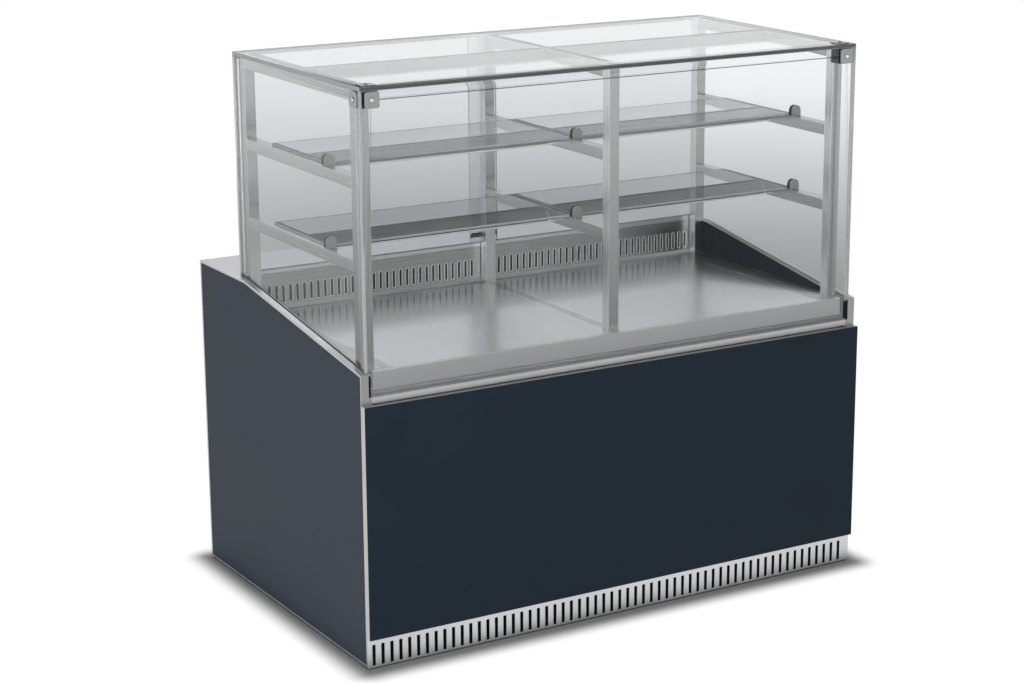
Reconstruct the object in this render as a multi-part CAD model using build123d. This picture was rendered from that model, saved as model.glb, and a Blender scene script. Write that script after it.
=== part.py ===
from build123d import *
import math
import os

# Refrigerated display case: a plug-in base with an insulated well, and a glass box with two shelf levels.
# Millimetres, +Z up, +X to the customer's right, -Y towards the customer.
# The origin is on the floor, under the middle of the whole case.

# Whole case
CASE_WIDTH = 1260
CASE_DEPTH = 820
FRONT_STANDOFF = 16
FLOOR_GAP = 3
KICK_TOP = 68
FRONT_PANEL_TOP = 571
SIDE_FRONT_TOP = 635
DISPLAY_FLOOR = 636
DECK_TOP = 718
GLASS_TOP = 1217
SLOPE_RUN = 559

# Side panels and their edge trim
SIDE_THICK = 24
TRIM = 5
TRIM_FRONT = 3
END_PLATE = 18
PANEL_RECESS = 1
FRONT_SHEET = 2.5
SHEET = 1.5
SEAT_GAP = 0.3

# Front rail, sill and glazing
GLASS = 8
GLASS_SETBACK = 4
GLASS_INSET = 14
GLASS_BOTTOM = 580
GROOVE_DEPTH = 10
GROOVE_GAP = 0.3
RAIL_DEPTH = 16
RAIL_LIP = 2.5
RAIL_LIP_TOP = 586
RAIL_BACK_TOP = 597
RAIL_BOTTOM = 572
SILL_SETBACK = 13
SILL_TOP_DEPTH = 7
SILL_END_GAP = 8
GASKET_TOP = 589

# Superstructure of square tube
TUBE = 25
TUBE_WALL = 1.5
POST_SIDE_GAP = 3.5
POST_SETBACK = 40
POST_ROWS = 530
POST_FOOT = 3
POST_FOOT_LIP = 0.5
UPPER_RAIL_DROP = 178
LOWER_RAIL_DROP = 172.5

# Light beams
BEAM_SETBACK = 217
BEAM_LEAN = 23
BEAM_LIP = 3
BEAM_DEPTH = 40
DIFFUSER_WIDTH = 16
DIFFUSER_THICK = 2.5
DIFFUSER_BACK = 4

# Glass shelves and their stops
SHELF_GLASS = 5
SHELF_SETBACK = 137
SHELF_DEPTH = 265
SHELF_END_GAP = 1
STOP_SETBACK = 122
STOP_DEPTH = 13
STOP_HEIGHT = 25

# Corner brackets and screws
BRACKET = 33
BRACKET_INSET = 10
BRACKET_THICK = 2
BRACKET_RADIUS = 5
SCREW_R = 3
SCREW_HEAD_R = 5
SCREW_HEAD = 2.4
SCREW_GRIP = 18
SCREW_CLEAR = 0.2
SCREW_SOCKET_R = 1.7
SCREW_SOCKET_DEEP = 1.2

# Rear sliding doors and their frame
DOOR_GLASS = 5
DOOR_OVERLAP = 76
DOOR_SIDE_GAP = 0.3
TRACK_RIB = 1
TRACK_GAP = 0.4
TRACK_BASE = 1.5
TRACK_HEIGHT = 8
JAMB = 4
DOOR_FOOT_GAP = 0.4
PULL_HEIGHT = 8
PULL_THICK = 2.2
PULL_LENGTH = 66
PULL_RISE = 22

# Display floor: air wall, trays and what carries them
WALL_GAP = 2
WALL_SLOTS = 32
WALL_SLOT_FIRST = 36.5
WALL_SLOT_LAST = 25.4
WALL_SLOT_WIDTH = 6
WALL_SLOT_HEIGHT = 40
WALL_SLOT_RISE = 12
WALL_LIP = 7
LEDGE_WIDTH = 63
TRAY_RIM = 4
TRAY_GAP = 0.3
TRAY_FRONT_GAP = 0.5
SEAM_WIDTH = 24
SUPPORT_LIP = 10
SUPPORT_LIP_THICK = 3
SEAM_WEB = 4
SEAM_WEB_DEPTH = 36

# Insulated well
WELL_BOTTOM = 470
FOAM = 30
FOAM_END = 40
FOAM_FRONT = 13
LINER = 1
WELL_REAR = 680
DRAIN_R = 9
DRAIN_X = 250
DRAIN_LENGTH = 50

# Chassis
FRAME_LOW = 40
FRAME_HEIGHT = 30
FRAME_BAR = 40
FRAME_WALL = 2
FRAME_INSET = 5
PAN_RIM = 12
LEG_WIDTH = 30
STAND_RING = 20
FOOT_R = 22
FOOT_BOSS_R = 11
FOOT_PAD = 8
FOOT_STUD_R = 6
FOOT_NUT_R = 10
FOOT_NUT = 8
FOOT_INSET = 25

# Kick grille
KICK_SETBACK = 11
KICK_PITCH = 20.98
KICK_FIRST = 14
KICK_LAST = 29
KICK_SLOT_WIDTH = 7.5
KICK_SLOT_HEIGHT = 46.5
KICK_SLOT_BOTTOM = 7.5

# Rear of the base
REAR_INSET = 13
REAR_SPLIT = 360
REAR_JOINT = 2
REAR_FLANGE = 12
DECK_SHEET = 2
DECK_DROP = 26
LOUVRE_COLUMNS = 3
LOUVRE_ROWS = 10
LOUVRE_PITCH_X = 190
LOUVRE_PITCH_Z = 24
LOUVRE_LENGTH = 150
LOUVRE_HEIGHT = 8
LOUVRE_LOW = 46

# Control panel, seen from behind. Its shares and places are parts of its width.
CONTROL_INSET = 235
CONTROL_Z = 600
CONTROL_WIDTH = 170
CONTROL_HEIGHT = 70
CONTROL_DEPTH = 8
CONTROL_BORDER = 8
CONTROL_CHAMFER = 1.5
LENS_SHARE = 0.33
LENS_HEIGHT = 30
LENS_THICK = 2
LENS_PLACE = -0.247
BUTTON_R = 6
BUTTON_GAP = 0.3
BUTTON_STEP = 0.106
BUTTON_PLACE = 0.035
BUTTON_PROUD = 2
BUTTON_FLANGE = 1.2
SWITCH_PLACE = 0.388
SWITCH_WIDTH = 16
SWITCH_HEIGHT = 26
SWITCH_DEPTH = 9
SWITCH_TILT = 7
SWITCH_GAP = 0.3
SWITCH_END_GAP = 0.8
INLET_INSET = 130
INLET_Z = 45
INLET_WIDTH = 28
INLET_HEIGHT = 22
INLET_DEPTH = 26
INLET_FLANGE = 3
INLET_FLANGE_EDGE = 8
INLET_WALL = 2
INLET_PIN = 2
INLET_PIN_PITCH = 7

# Condensing unit
COMPRESSOR_INSET = 300
COMPRESSOR_Y = 520
COMPRESSOR_R = 85
COMPRESSOR_HEIGHT = 150
COMPRESSOR_DOME = 35
COMPRESSOR_FEET = 200
COMPRESSOR_FOOT_THICK = 6
COMPRESSOR_FOOT_LIFT = 14
COIL_X = 160
COIL_SETBACK = 60
COIL_DEPTH = 60
COIL_LIFT = 14
COIL_HEIGHT = 220
COIL_END = 2
COIL_FINS = 40
COIL_FIN_THICK = 3.5
COIL_CORE_INSET = 8
SHROUD_DEPTH = 40
SHROUD_WALL = 2
FAN_R = 92
FAN_RING_GAP = 6
FAN_HUB_R = 25
FAN_HUB_LENGTH = 26
FAN_SHAFT_R = 4
FAN_SHAFT_GAP = 0.05
FAN_BLADES = 5
FAN_BLADE_THICK = 2
FAN_BLADE_CHORD = 34
FAN_BLADE_PITCH = 30
MOTOR_R = 38
MOTOR_LENGTH = 55
MOTOR_GAP = 8
MOTOR_ARM = 12
MOTOR_ARM_THICK = 3

# Evaporator and its cross-flow fan
EVAP_INSET = 206
EVAP_SETBACK = 430
EVAP_DEPTH = 100
EVAP_LIFT = 10
EVAP_HEIGHT = 70
EVAP_END = 3
EVAP_FINS = 60
ROTOR_SETBACK = 375
ROTOR_LIFT = 46
ROTOR_R = 34
ROTOR_DISC = 3
ROTOR_DISCS = 5
ROTOR_BLADES = 18
ROTOR_BLADE_THICK = 1.5
ROTOR_BLADE_WIDTH = 12
ROTOR_SHAFT_R = 6
ROTOR_GAP = 0.05
ROTOR_END_GAP = 3
EVAP_PLATE_MARGIN = 12
LINE_R = 5
LINE_BEND = 30
LINE_STUB = 45
PORT_OFFSET = 40

# Planes and places that follow from the sizes above
HALF = CASE_WIDTH / 2
FRONT_Y = -CASE_DEPTH / 2
BACK_Y = CASE_DEPTH / 2
SIDE_Y = FRONT_Y + FRONT_STANDOFF
INNER_X = HALF - SIDE_THICK
GLASS_X = HALF - GLASS_INSET
GLASS_Y = SIDE_Y + GLASS_SETBACK
GLASS_UNDER = GLASS_TOP - GLASS
UPPER_RAIL_TOP = GLASS_UNDER - UPPER_RAIL_DROP
LOWER_RAIL_TOP = UPPER_RAIL_TOP - LOWER_RAIL_DROP
POST_X = GLASS_X - GLASS - POST_SIDE_GAP - TUBE / 2
RAIL_BACK_Y = SIDE_Y + RAIL_DEPTH
FRONT_POST_Y = SIDE_Y + POST_SETBACK
REAR_POST_Y = FRONT_POST_Y + POST_ROWS
RAIL_START_Y = FRONT_POST_Y + TUBE
WALL_Y = REAR_POST_Y + TUBE + WALL_GAP
TRACK_LANE = DOOR_GLASS + 2 * TRACK_GAP
TRACK_Y = WALL_Y + TRACK_GAP
TRACK_DEPTH = 3 * TRACK_RIB + 2 * TRACK_LANE
GLASS_REAR_Y = TRACK_Y + TRACK_DEPTH
DECK_UNDER = DECK_TOP - DECK_SHEET
TRAY_UNDER = DISPLAY_FLOOR - TRAY_RIM
TRAY_EDGE_X = INNER_X - LEDGE_WIDTH
FRAME_TOP = FRAME_LOW + FRAME_HEIGHT
PAN_TOP = FRAME_TOP + SHEET
REAR_PANEL_Y = BACK_Y - REAR_INSET
CONTROL_Y = REAR_PANEL_Y + SHEET
CONTROL_X = HALF - CONTROL_INSET
INLET_X = HALF - INLET_INSET
COMPRESSOR_X = HALF - COMPRESSOR_INSET
EVAP_X = INNER_X - EVAP_INSET
WELL_BACK_Y = SIDE_Y + WELL_REAR
LINER_X = INNER_X - FOAM_END
LINER_FRONT_Y = RAIL_BACK_Y + FOAM_FRONT
LINER_BACK_Y = WELL_BACK_Y - FOAM
LINER_BOTTOM = WELL_BOTTOM + FOAM
LINER_FLOOR = LINER_BOTTOM + LINER


def block(x_span, y_span, z_span):
    """A box between the given limits on each axis."""
    spans = (x_span, y_span, z_span)
    size = [high - low for low, high in spans]
    middle = [(high + low) / 2 for low, high in spans]
    return Pos(*middle) * Box(*size)


def side_prism(points, x_span):
    """An outline of (y, z) points, run along X between two limits."""
    face = Plane.YZ * Polygon(*points, align=None)
    return Pos(x_span[0], 0, 0) * extrude(face, x_span[1] - x_span[0])


def rod_y(x, y_span, z, radius):
    """A round bar along Y."""
    middle = (y_span[0] + y_span[1]) / 2
    return Pos(x, middle, z) * Rot(90, 0, 0) * Cylinder(radius, y_span[1] - y_span[0])


def rod_x(x_span, y, z, radius):
    """A round bar along X."""
    middle = (x_span[0] + x_span[1]) / 2
    return Pos(middle, y, z) * Rot(0, 90, 0) * Cylinder(radius, x_span[1] - x_span[0])


def rod_z(x, y, z_span, radius):
    """A round bar along Z."""
    middle = (z_span[0] + z_span[1]) / 2
    return Pos(x, y, middle) * Cylinder(radius, z_span[1] - z_span[0])


def other_side(shape):
    """The same piece on the other side of the case."""
    return mirror(shape, about=Plane.YZ)


def save(name, *solids):
    """Writes one sub-part, as one solid or as a group of separate ones."""
    shape = solids[0] if len(solids) == 1 else Compound(children=[s.solid() for s in solids])
    export_step(shape, f"parts/{name}.step")


def slope_height(y):
    """Height of the side panel's top edge at a depth: a straight slope, then level."""
    share = min(1, max(0, (y - SIDE_Y) / SLOPE_RUN))
    return SIDE_FRONT_TOP + share * (DECK_TOP - SIDE_FRONT_TOP)


# Side panels

KINK_Y = SIDE_Y + SLOPE_RUN
SLOPE_ANGLE = math.atan2(DECK_TOP - SIDE_FRONT_TOP, SLOPE_RUN)
STRIP_Y = FRONT_Y + FRONT_SHEET
KICK_BACK_Y = FRONT_Y + KICK_SETBACK + SHEET


def trim_outline():
    """Outer edge of a side panel with its trim, seen from the side."""
    return [
        (KICK_BACK_Y, FLOOR_GAP),
        (BACK_Y, FLOOR_GAP),
        (BACK_Y, DECK_TOP),
        (KINK_Y, DECK_TOP),
        (SIDE_Y, SIDE_FRONT_TOP),
        (SIDE_Y, FRONT_PANEL_TOP),
        (STRIP_Y, FRONT_PANEL_TOP),
        (STRIP_Y, KICK_TOP),
        (KICK_BACK_Y, KICK_TOP),
    ]


def board_outline():
    """Outline of the board that fills the trim."""
    drop = TRIM / math.cos(SLOPE_ANGLE)
    front = SIDE_Y + TRIM_FRONT
    kink = KINK_Y + TRIM * math.tan(SLOPE_ANGLE / 2)
    return [
        (front, FLOOR_GAP + TRIM),
        (BACK_Y - TRIM, FLOOR_GAP + TRIM),
        (BACK_Y - TRIM, DECK_TOP - TRIM),
        (kink, DECK_TOP - TRIM),
        (front, slope_height(front) - drop),
    ]


def glass_groove():
    """Space that the side and front glass take in the right-hand side panel."""
    inner = GLASS_X - GLASS - GROOVE_GAP
    outer = GLASS_X + GROOVE_GAP
    start = GLASS_Y + GLASS
    end = GLASS_REAR_Y + GROOVE_GAP
    points = [
        (start, slope_height(start) - GROOVE_DEPTH),
        (KINK_Y, DECK_TOP - GROOVE_DEPTH),
        (end, DECK_TOP - GROOVE_DEPTH),
        (end, DECK_TOP + 1),
        (start, DECK_TOP + 1),
    ]
    front = block(
        (INNER_X - 1, outer),
        (GLASS_Y - GROOVE_GAP, start + GROOVE_GAP),
        (GLASS_BOTTOM, DECK_TOP),
    )
    return side_prism(points, (inner, outer)) + front


def make_side_panels():
    groove = glass_groove()
    board_x = (INNER_X, HALF - PANEL_RECESS)
    board = side_prism(board_outline(), board_x) - groove
    trim = side_prism(trim_outline(), (INNER_X, HALF)) - side_prism(board_outline(), (INNER_X, HALF))
    deck_seat = block(
        (INNER_X - 1, HALF - TRIM),
        (GLASS_REAR_Y + GROOVE_GAP, BACK_Y - TRIM),
        (DECK_UNDER, DECK_TOP + 1),
    )
    glass_end_gap = block(
        (INNER_X - 1, HALF - END_PLATE),
        (SIDE_Y - 1, SIDE_Y + TRIM_FRONT),
        (RAIL_LIP_TOP, SIDE_FRONT_TOP + 1),
    )
    trim = trim - groove - deck_seat - glass_end_gap
    save("right_side_panel", board)
    save("left_side_panel", other_side(board))
    save("right_side_trim", trim)
    save("left_side_trim", other_side(trim))


# Front of the base

def make_front_panel():
    face = block((-HALF, HALF), (FRONT_Y, STRIP_Y), (KICK_TOP, FRONT_PANEL_TOP))
    flange_x = (-INNER_X + SEAT_GAP, INNER_X - SEAT_GAP)
    flange_y = (STRIP_Y, SIDE_Y - TRIM_FRONT)
    top = block(flange_x, flange_y, (FRONT_PANEL_TOP - SHEET, FRONT_PANEL_TOP))
    bottom = block(flange_x, flange_y, (KICK_TOP, KICK_TOP + SHEET))
    save("front_panel", face + top + bottom)


def make_kick_grille():
    face_y = FRONT_Y + KICK_SETBACK
    face = block((-HALF, HALF), (face_y, KICK_BACK_Y), (FLOOR_GAP, KICK_TOP))
    first = -HALF + KICK_FIRST
    slot_count = int((CASE_WIDTH - KICK_FIRST - KICK_LAST) / KICK_PITCH) + 1
    slots = [
        block(
            (first + n * KICK_PITCH - KICK_SLOT_WIDTH / 2, first + n * KICK_PITCH + KICK_SLOT_WIDTH / 2),
            (face_y - 1, KICK_BACK_Y + 1),
            (KICK_SLOT_BOTTOM, KICK_SLOT_BOTTOM + KICK_SLOT_HEIGHT),
        )
        for n in range(slot_count)
    ]
    flange = block(
        (-INNER_X + SEAT_GAP, INNER_X - SEAT_GAP),
        (KICK_BACK_Y, SIDE_Y + FRAME_INSET),
        (KICK_TOP - SHEET, KICK_TOP),
    )
    save("kick_grille", face - slots + flange)


def make_front_rail():
    lip_y = SIDE_Y + RAIL_LIP
    back_y = RAIL_BACK_Y - RAIL_LIP
    outline = [
        (SIDE_Y, RAIL_BOTTOM),
        (RAIL_BACK_Y, RAIL_BOTTOM),
        (RAIL_BACK_Y, RAIL_BACK_TOP),
        (back_y, RAIL_BACK_TOP),
        (back_y, GLASS_BOTTOM),
        (lip_y, GLASS_BOTTOM),
        (lip_y, RAIL_LIP_TOP),
        (SIDE_Y, RAIL_LIP_TOP),
    ]
    save("front_rail", side_prism(outline, (-INNER_X, INNER_X)))


def make_gaskets():
    """Rubber strips before and behind the foot of the front glass, and at its two ends."""
    strip_x = (-INNER_X, INNER_X)
    front = block(strip_x, (SIDE_Y + RAIL_LIP, GLASS_Y), (GLASS_BOTTOM, GASKET_TOP))
    back = block(strip_x, (GLASS_Y + GLASS, RAIL_BACK_Y - RAIL_LIP), (GLASS_BOTTOM, RAIL_BACK_TOP))
    end = block(
        (INNER_X - SILL_END_GAP, INNER_X),
        (GLASS_Y + GLASS, RAIL_BACK_Y),
        (RAIL_BACK_TOP, DISPLAY_FLOOR),
    )
    save("glazing_gaskets", front, back, end, other_side(end))


def make_sill():
    sill_x = (-INNER_X + SILL_END_GAP, INNER_X - SILL_END_GAP)
    face_y = SIDE_Y + SILL_SETBACK
    end_y = face_y + SILL_TOP_DEPTH
    face = block(sill_x, (face_y, face_y + SHEET), (RAIL_BACK_TOP, DISPLAY_FLOOR))
    top = block(sill_x, (face_y, end_y), (DISPLAY_FLOOR - SHEET, DISPLAY_FLOOR))
    fold = block(sill_x, (end_y - SHEET, end_y), (TRAY_UNDER, DISPLAY_FLOOR))
    save("front_sill", face + top + fold)


# Glass box

def screw_places():
    """Centre and outward direction of the three screws of the right-hand corner bracket."""
    reach = BRACKET_INSET + BRACKET / 2
    x = GLASS_X - reach
    y = GLASS_Y + reach
    z = GLASS_TOP - reach
    return [
        ((x, GLASS_Y - BRACKET_THICK, z), "front"),
        ((GLASS_X + BRACKET_THICK, y, z), "side"),
        ((x, y, GLASS_TOP + BRACKET_THICK), "top"),
    ]


def screw_bar(place, facing, start, end, radius):
    """A round bar on a screw's axis, from start to end measured outwards from the bracket's face."""
    x, y, z = place
    if facing == "front":
        return rod_y(x, (y - end, y - start), z, radius)
    if facing == "side":
        return rod_x((x + start, x + end), y, z, radius)
    return rod_z(x, y, (z + start, z + end), radius)


def screw_holes():
    holes = [
        screw_bar(place, facing, -SCREW_GRIP - 1, 1, SCREW_R + SCREW_CLEAR)
        for place, facing in screw_places()
    ]
    return holes + [other_side(hole) for hole in holes]


def make_glass():
    holes = screw_holes()
    back_y = GLASS_Y + GLASS
    front = block((-GLASS_X, GLASS_X), (GLASS_Y, back_y), (GLASS_BOTTOM, GLASS_UNDER)) - holes
    top = block((-GLASS_X, GLASS_X), (GLASS_Y, GLASS_REAR_Y), (GLASS_UNDER, GLASS_TOP)) - holes
    outline = [
        (back_y, slope_height(back_y) - GROOVE_DEPTH),
        (KINK_Y, DECK_TOP - GROOVE_DEPTH),
        (GLASS_REAR_Y, DECK_TOP - GROOVE_DEPTH),
        (GLASS_REAR_Y, GLASS_UNDER),
        (back_y, GLASS_UNDER),
    ]
    side = side_prism(outline, (GLASS_X - GLASS, GLASS_X)) - holes
    save("front_glass", front)
    save("top_glass", top)
    save("right_side_glass", side)
    save("left_side_glass", other_side(side))


def corner_bracket():
    """Three plates outside the front top corner of the glass, on the right, and the block behind them."""
    x_span = (GLASS_X - BRACKET_INSET - BRACKET, GLASS_X - BRACKET_INSET)
    y_span = (GLASS_Y + BRACKET_INSET, GLASS_Y + BRACKET_INSET + BRACKET)
    z_span = (GLASS_TOP - BRACKET_INSET - BRACKET, GLASS_TOP - BRACKET_INSET)
    front = block(x_span, (GLASS_Y - BRACKET_THICK, GLASS_Y), z_span)
    side = block((GLASS_X, GLASS_X + BRACKET_THICK), y_span, z_span)
    top = block(x_span, y_span, (GLASS_TOP, GLASS_TOP + BRACKET_THICK))
    plates = [
        fillet(front.edges().filter_by(Axis.Y), BRACKET_RADIUS),
        fillet(side.edges().filter_by(Axis.X), BRACKET_RADIUS),
        fillet(top.edges().filter_by(Axis.Z), BRACKET_RADIUS),
    ]
    spacer = block((x_span[0], GLASS_X - GLASS), (GLASS_Y + GLASS, FRONT_POST_Y), (z_span[0], GLASS_UNDER))
    holes = screw_holes()[:3]
    return [piece - holes for piece in (*plates, spacer)]


def make_brackets():
    right = corner_bracket()
    save("corner_brackets", *right, *[other_side(piece) for piece in right])


def bracket_screw(place, facing):
    head = screw_bar(place, facing, 0, SCREW_HEAD, SCREW_HEAD_R)
    shank = screw_bar(place, facing, -SCREW_GRIP, 0, SCREW_R)
    socket = screw_bar(place, facing, SCREW_HEAD - SCREW_SOCKET_DEEP, SCREW_HEAD + 1, SCREW_SOCKET_R)
    return head + shank - socket


def panel_screws():
    """Screw heads along the edges of the two rear panels, on the right."""
    x = INNER_X - REAR_FLANGE
    heights = [
        FRAME_LOW,
        REAR_SPLIT - REAR_JOINT - REAR_FLANGE,
        REAR_SPLIT + REAR_FLANGE,
        DECK_TOP - DECK_DROP - REAR_FLANGE,
    ]
    return [rod_y(x, (CONTROL_Y, CONTROL_Y + SCREW_HEAD), z, SCREW_HEAD_R) for z in heights]


def make_screws():
    right = [bracket_screw(place, facing) for place, facing in screw_places()] + panel_screws()
    save("screws", *right, *[other_side(screw) for screw in right])


# Posts, rails, lights and shelves

def tube_z(x, y, z_span):
    """Square tube standing up, with its middle at x and its front face at y."""
    half = TUBE / 2
    bore = half - TUBE_WALL
    outer = block((x - half, x + half), (y, y + TUBE), z_span)
    inner = block((x - bore, x + bore), (y + TUBE_WALL, y + TUBE - TUBE_WALL), (z_span[0] - 1, z_span[1] + 1))
    return outer - inner


def tube_y(x, y_span, top):
    """Square tube lying front to back, with its middle at x."""
    half = TUBE / 2
    bore = half - TUBE_WALL
    outer = block((x - half, x + half), y_span, (top - TUBE, top))
    inner = block(
        (x - bore, x + bore),
        (y_span[0] - 1, y_span[1] + 1),
        (top - TUBE + TUBE_WALL, top - TUBE_WALL),
    )
    return outer - inner


def post(x, y):
    reach = TUBE / 2 + POST_FOOT_LIP
    foot = block(
        (x - reach, x + reach),
        (y - POST_FOOT_LIP, y + TUBE + POST_FOOT_LIP),
        (DISPLAY_FLOOR, DISPLAY_FLOOR + POST_FOOT),
    )
    return tube_z(x, y, (DISPLAY_FLOOR + POST_FOOT, GLASS_UNDER)) + foot


COLUMNS = (-POST_X, 0, POST_X)


def make_posts_and_rails():
    rail_y = (RAIL_START_Y, REAR_POST_Y)
    save("front_posts", *[post(x, FRONT_POST_Y) for x in COLUMNS])
    save("rear_posts", *[post(x, REAR_POST_Y) for x in COLUMNS])
    save("top_rails", *[tube_y(x, rail_y, GLASS_UNDER) for x in COLUMNS])
    save("upper_shelf_rails", *[tube_y(x, rail_y, UPPER_RAIL_TOP) for x in COLUMNS])
    save("lower_shelf_rails", *[tube_y(x, rail_y, LOWER_RAIL_TOP) for x in COLUMNS])


BAY_X = (TUBE / 2, POST_X - TUBE / 2)


def light_beam(top):
    """Sloping light beam of the right-hand bay, between the middle rail and the outer one."""
    y = RAIL_START_Y + BEAM_SETBACK
    low = top - TUBE
    outline = [
        (y, low),
        (y + BEAM_DEPTH, low),
        (y + BEAM_DEPTH, top),
        (y + BEAM_LEAN, top),
        (y, low + BEAM_LIP),
    ]
    groove = light_diffuser(top)
    return side_prism(outline, BAY_X) - groove


def light_diffuser(top):
    """Strip that lets the light out of the beam's underside."""
    end = RAIL_START_Y + BEAM_SETBACK + BEAM_DEPTH - DIFFUSER_BACK
    low = top - TUBE
    return block(BAY_X, (end - DIFFUSER_WIDTH, end), (low, low + DIFFUSER_THICK))


def make_lights():
    levels = (GLASS_UNDER, UPPER_RAIL_TOP, LOWER_RAIL_TOP)
    beams = [light_beam(top) for top in levels]
    diffusers = [light_diffuser(top) for top in levels]
    save("light_beams", *beams, *[other_side(beam) for beam in beams])
    save("light_diffusers", *diffusers, *[other_side(strip) for strip in diffusers])


def make_shelves():
    start = RAIL_START_Y + SHELF_SETBACK
    for level, top in (("upper", UPPER_RAIL_TOP), ("lower", LOWER_RAIL_TOP)):
        shelf = block((SHELF_END_GAP, POST_X), (start, start + SHELF_DEPTH), (top, top + SHELF_GLASS))
        save(f"right_{level}_shelf", shelf)
        save(f"left_{level}_shelf", other_side(shelf))


def shelf_stop(x, top):
    """Arched stop that stands on a rail in front of the glass shelf."""
    y = RAIL_START_Y + STOP_SETBACK
    half = TUBE / 2
    span = (y, y + STOP_DEPTH)
    shoulder = top + STOP_HEIGHT - half
    return block((x - half, x + half), span, (top, shoulder)) + rod_y(x, span, shoulder, half)


def make_stops():
    levels = (UPPER_RAIL_TOP, LOWER_RAIL_TOP)
    save("shelf_stops", *[shelf_stop(x, top) for top in levels for x in COLUMNS])


# Rear doors

def make_door_frame():
    """Lower and upper two-lane tracks, and a closing strip beside each pane's outer edge."""
    track_x = (-GLASS_X + GLASS, GLASS_X - GLASS)
    sill_z = (DECK_TOP, DECK_TOP + TRACK_BASE)
    head_z = (GLASS_UNDER - TRACK_BASE, GLASS_UNDER)
    span = (TRACK_Y, TRACK_Y + TRACK_DEPTH)
    lower = block(track_x, span, sill_z)
    upper = block(track_x, span, head_z)
    for n in range(3):
        rib_y = TRACK_Y + n * (TRACK_RIB + TRACK_LANE)
        rib = (rib_y, rib_y + TRACK_RIB)
        lower += block(track_x, rib, (DECK_TOP, DECK_TOP + TRACK_HEIGHT))
        upper += block(track_x, rib, (GLASS_UNDER - TRACK_HEIGHT, GLASS_UNDER))
    jamb = block(
        (track_x[1] - JAMB, track_x[1]),
        span,
        (DECK_TOP + TRACK_HEIGHT, GLASS_UNDER - TRACK_HEIGHT),
    )
    save("door_frame", lower, upper, jamb, other_side(jamb))


DOOR_OUTER_X = GLASS_X - GLASS - JAMB - DOOR_SIDE_GAP
DOOR_LANES = (TRACK_Y + TRACK_RIB + TRACK_GAP, TRACK_Y + 2 * TRACK_RIB + TRACK_LANE + TRACK_GAP)


def door_pane(lane_y):
    """Glass pane of the right-hand door."""
    return block(
        (-DOOR_OVERLAP / 2, DOOR_OUTER_X),
        (lane_y, lane_y + DOOR_GLASS),
        (DECK_TOP + TRACK_BASE + DOOR_FOOT_GAP, GLASS_UNDER - TRACK_BASE - DOOR_FOOT_GAP),
    )


def door_pull(y_span):
    """Dark finger strip at the meeting edge of the right-hand door."""
    low = DECK_TOP + PULL_RISE
    start = -DOOR_OVERLAP / 2
    return block((start, start + PULL_LENGTH), y_span, (low, low + PULL_HEIGHT))


def make_doors():
    """The right-hand door runs in the front lane, and the left-hand one behind it."""
    near, far = DOOR_LANES
    save("right_rear_door", door_pane(near))
    save("left_rear_door", other_side(door_pane(far)))
    save("right_door_pull", door_pull((near - PULL_THICK, near)))
    save("left_door_pull", other_side(door_pull((far + DOOR_GLASS, far + DOOR_GLASS + PULL_THICK))))


# Display floor

def make_air_wall():
    """Slotted wall that the cold air comes out of, with a sloping lip along its foot."""
    wall = block((-INNER_X, INNER_X), (WALL_Y, WALL_Y + SHEET), (DISPLAY_FLOOR, DECK_UNDER))
    low = DISPLAY_FLOOR + WALL_SLOT_RISE
    pitch = (POST_X - WALL_SLOT_FIRST - WALL_SLOT_LAST) / (WALL_SLOTS - 1)
    half = WALL_SLOT_WIDTH / 2
    places = [WALL_SLOT_FIRST + n * pitch for n in range(WALL_SLOTS)]
    through = (WALL_Y - 1, WALL_Y + SHEET + 1)
    slots = [block((x - half, x + half), through, (low, low + WALL_SLOT_HEIGHT)) for x in places]
    slots += [other_side(slot) for slot in slots]
    fillet_outline = [
        (WALL_Y - WALL_LIP, DISPLAY_FLOOR),
        (WALL_Y, DISPLAY_FLOOR),
        (WALL_Y, DISPLAY_FLOOR + WALL_LIP),
    ]
    clear = TUBE / 2 + POST_FOOT_LIP + SEAT_GAP
    lip = side_prism(fillet_outline, (clear, POST_X - clear))
    save("rear_air_wall", wall - slots + lip + other_side(lip))


def make_trays():
    """Shallow trays, each a flat top with a folded rim, that rest on the lips of their supports."""
    x = (SEAM_WIDTH / 2 + TRAY_GAP, TRAY_EDGE_X - TRAY_GAP)
    front = SIDE_Y + SILL_SETBACK + SILL_TOP_DEPTH + TRAY_FRONT_GAP
    y = (front, WALL_Y)
    outer = block(x, y, (TRAY_UNDER, DISPLAY_FLOOR))
    hollow = block(
        (x[0] + SHEET, x[1] - SHEET),
        (y[0] + SHEET, y[1] - SHEET),
        (TRAY_UNDER - 1, DISPLAY_FLOOR - SHEET),
    )
    tray = outer - hollow
    save("right_floor_tray", tray)
    save("left_floor_tray", other_side(tray))


def make_tray_supports():
    """Middle bar between the trays, and a ledge along each side."""
    front = SIDE_Y + SILL_SETBACK + SILL_TOP_DEPTH
    lip_z = (TRAY_UNDER - SUPPORT_LIP_THICK, TRAY_UNDER)
    span = (front, WALL_Y)
    inside = (LINER_FRONT_Y + LINER, WALL_Y)
    half = SEAM_WIDTH / 2
    bar = block((-half, half), span, (TRAY_UNDER, DISPLAY_FLOOR))
    bar += block((-half - SUPPORT_LIP, half + SUPPORT_LIP), inside, lip_z)
    web = block(
        (-SEAM_WEB / 2, SEAM_WEB / 2),
        (LINER_FRONT_Y + LINER, LINER_BACK_Y - LINER),
        (TRAY_UNDER - SEAM_WEB_DEPTH, TRAY_UNDER - SUPPORT_LIP_THICK),
    )
    bar += web
    ledge = block((TRAY_EDGE_X, INNER_X), span, (TRAY_UNDER, DISPLAY_FLOOR))
    ledge += block((TRAY_EDGE_X - SUPPORT_LIP, LINER_X - LINER), inside, lip_z)
    save("tray_supports", bar, ledge, other_side(ledge))


# Insulated well

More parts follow.
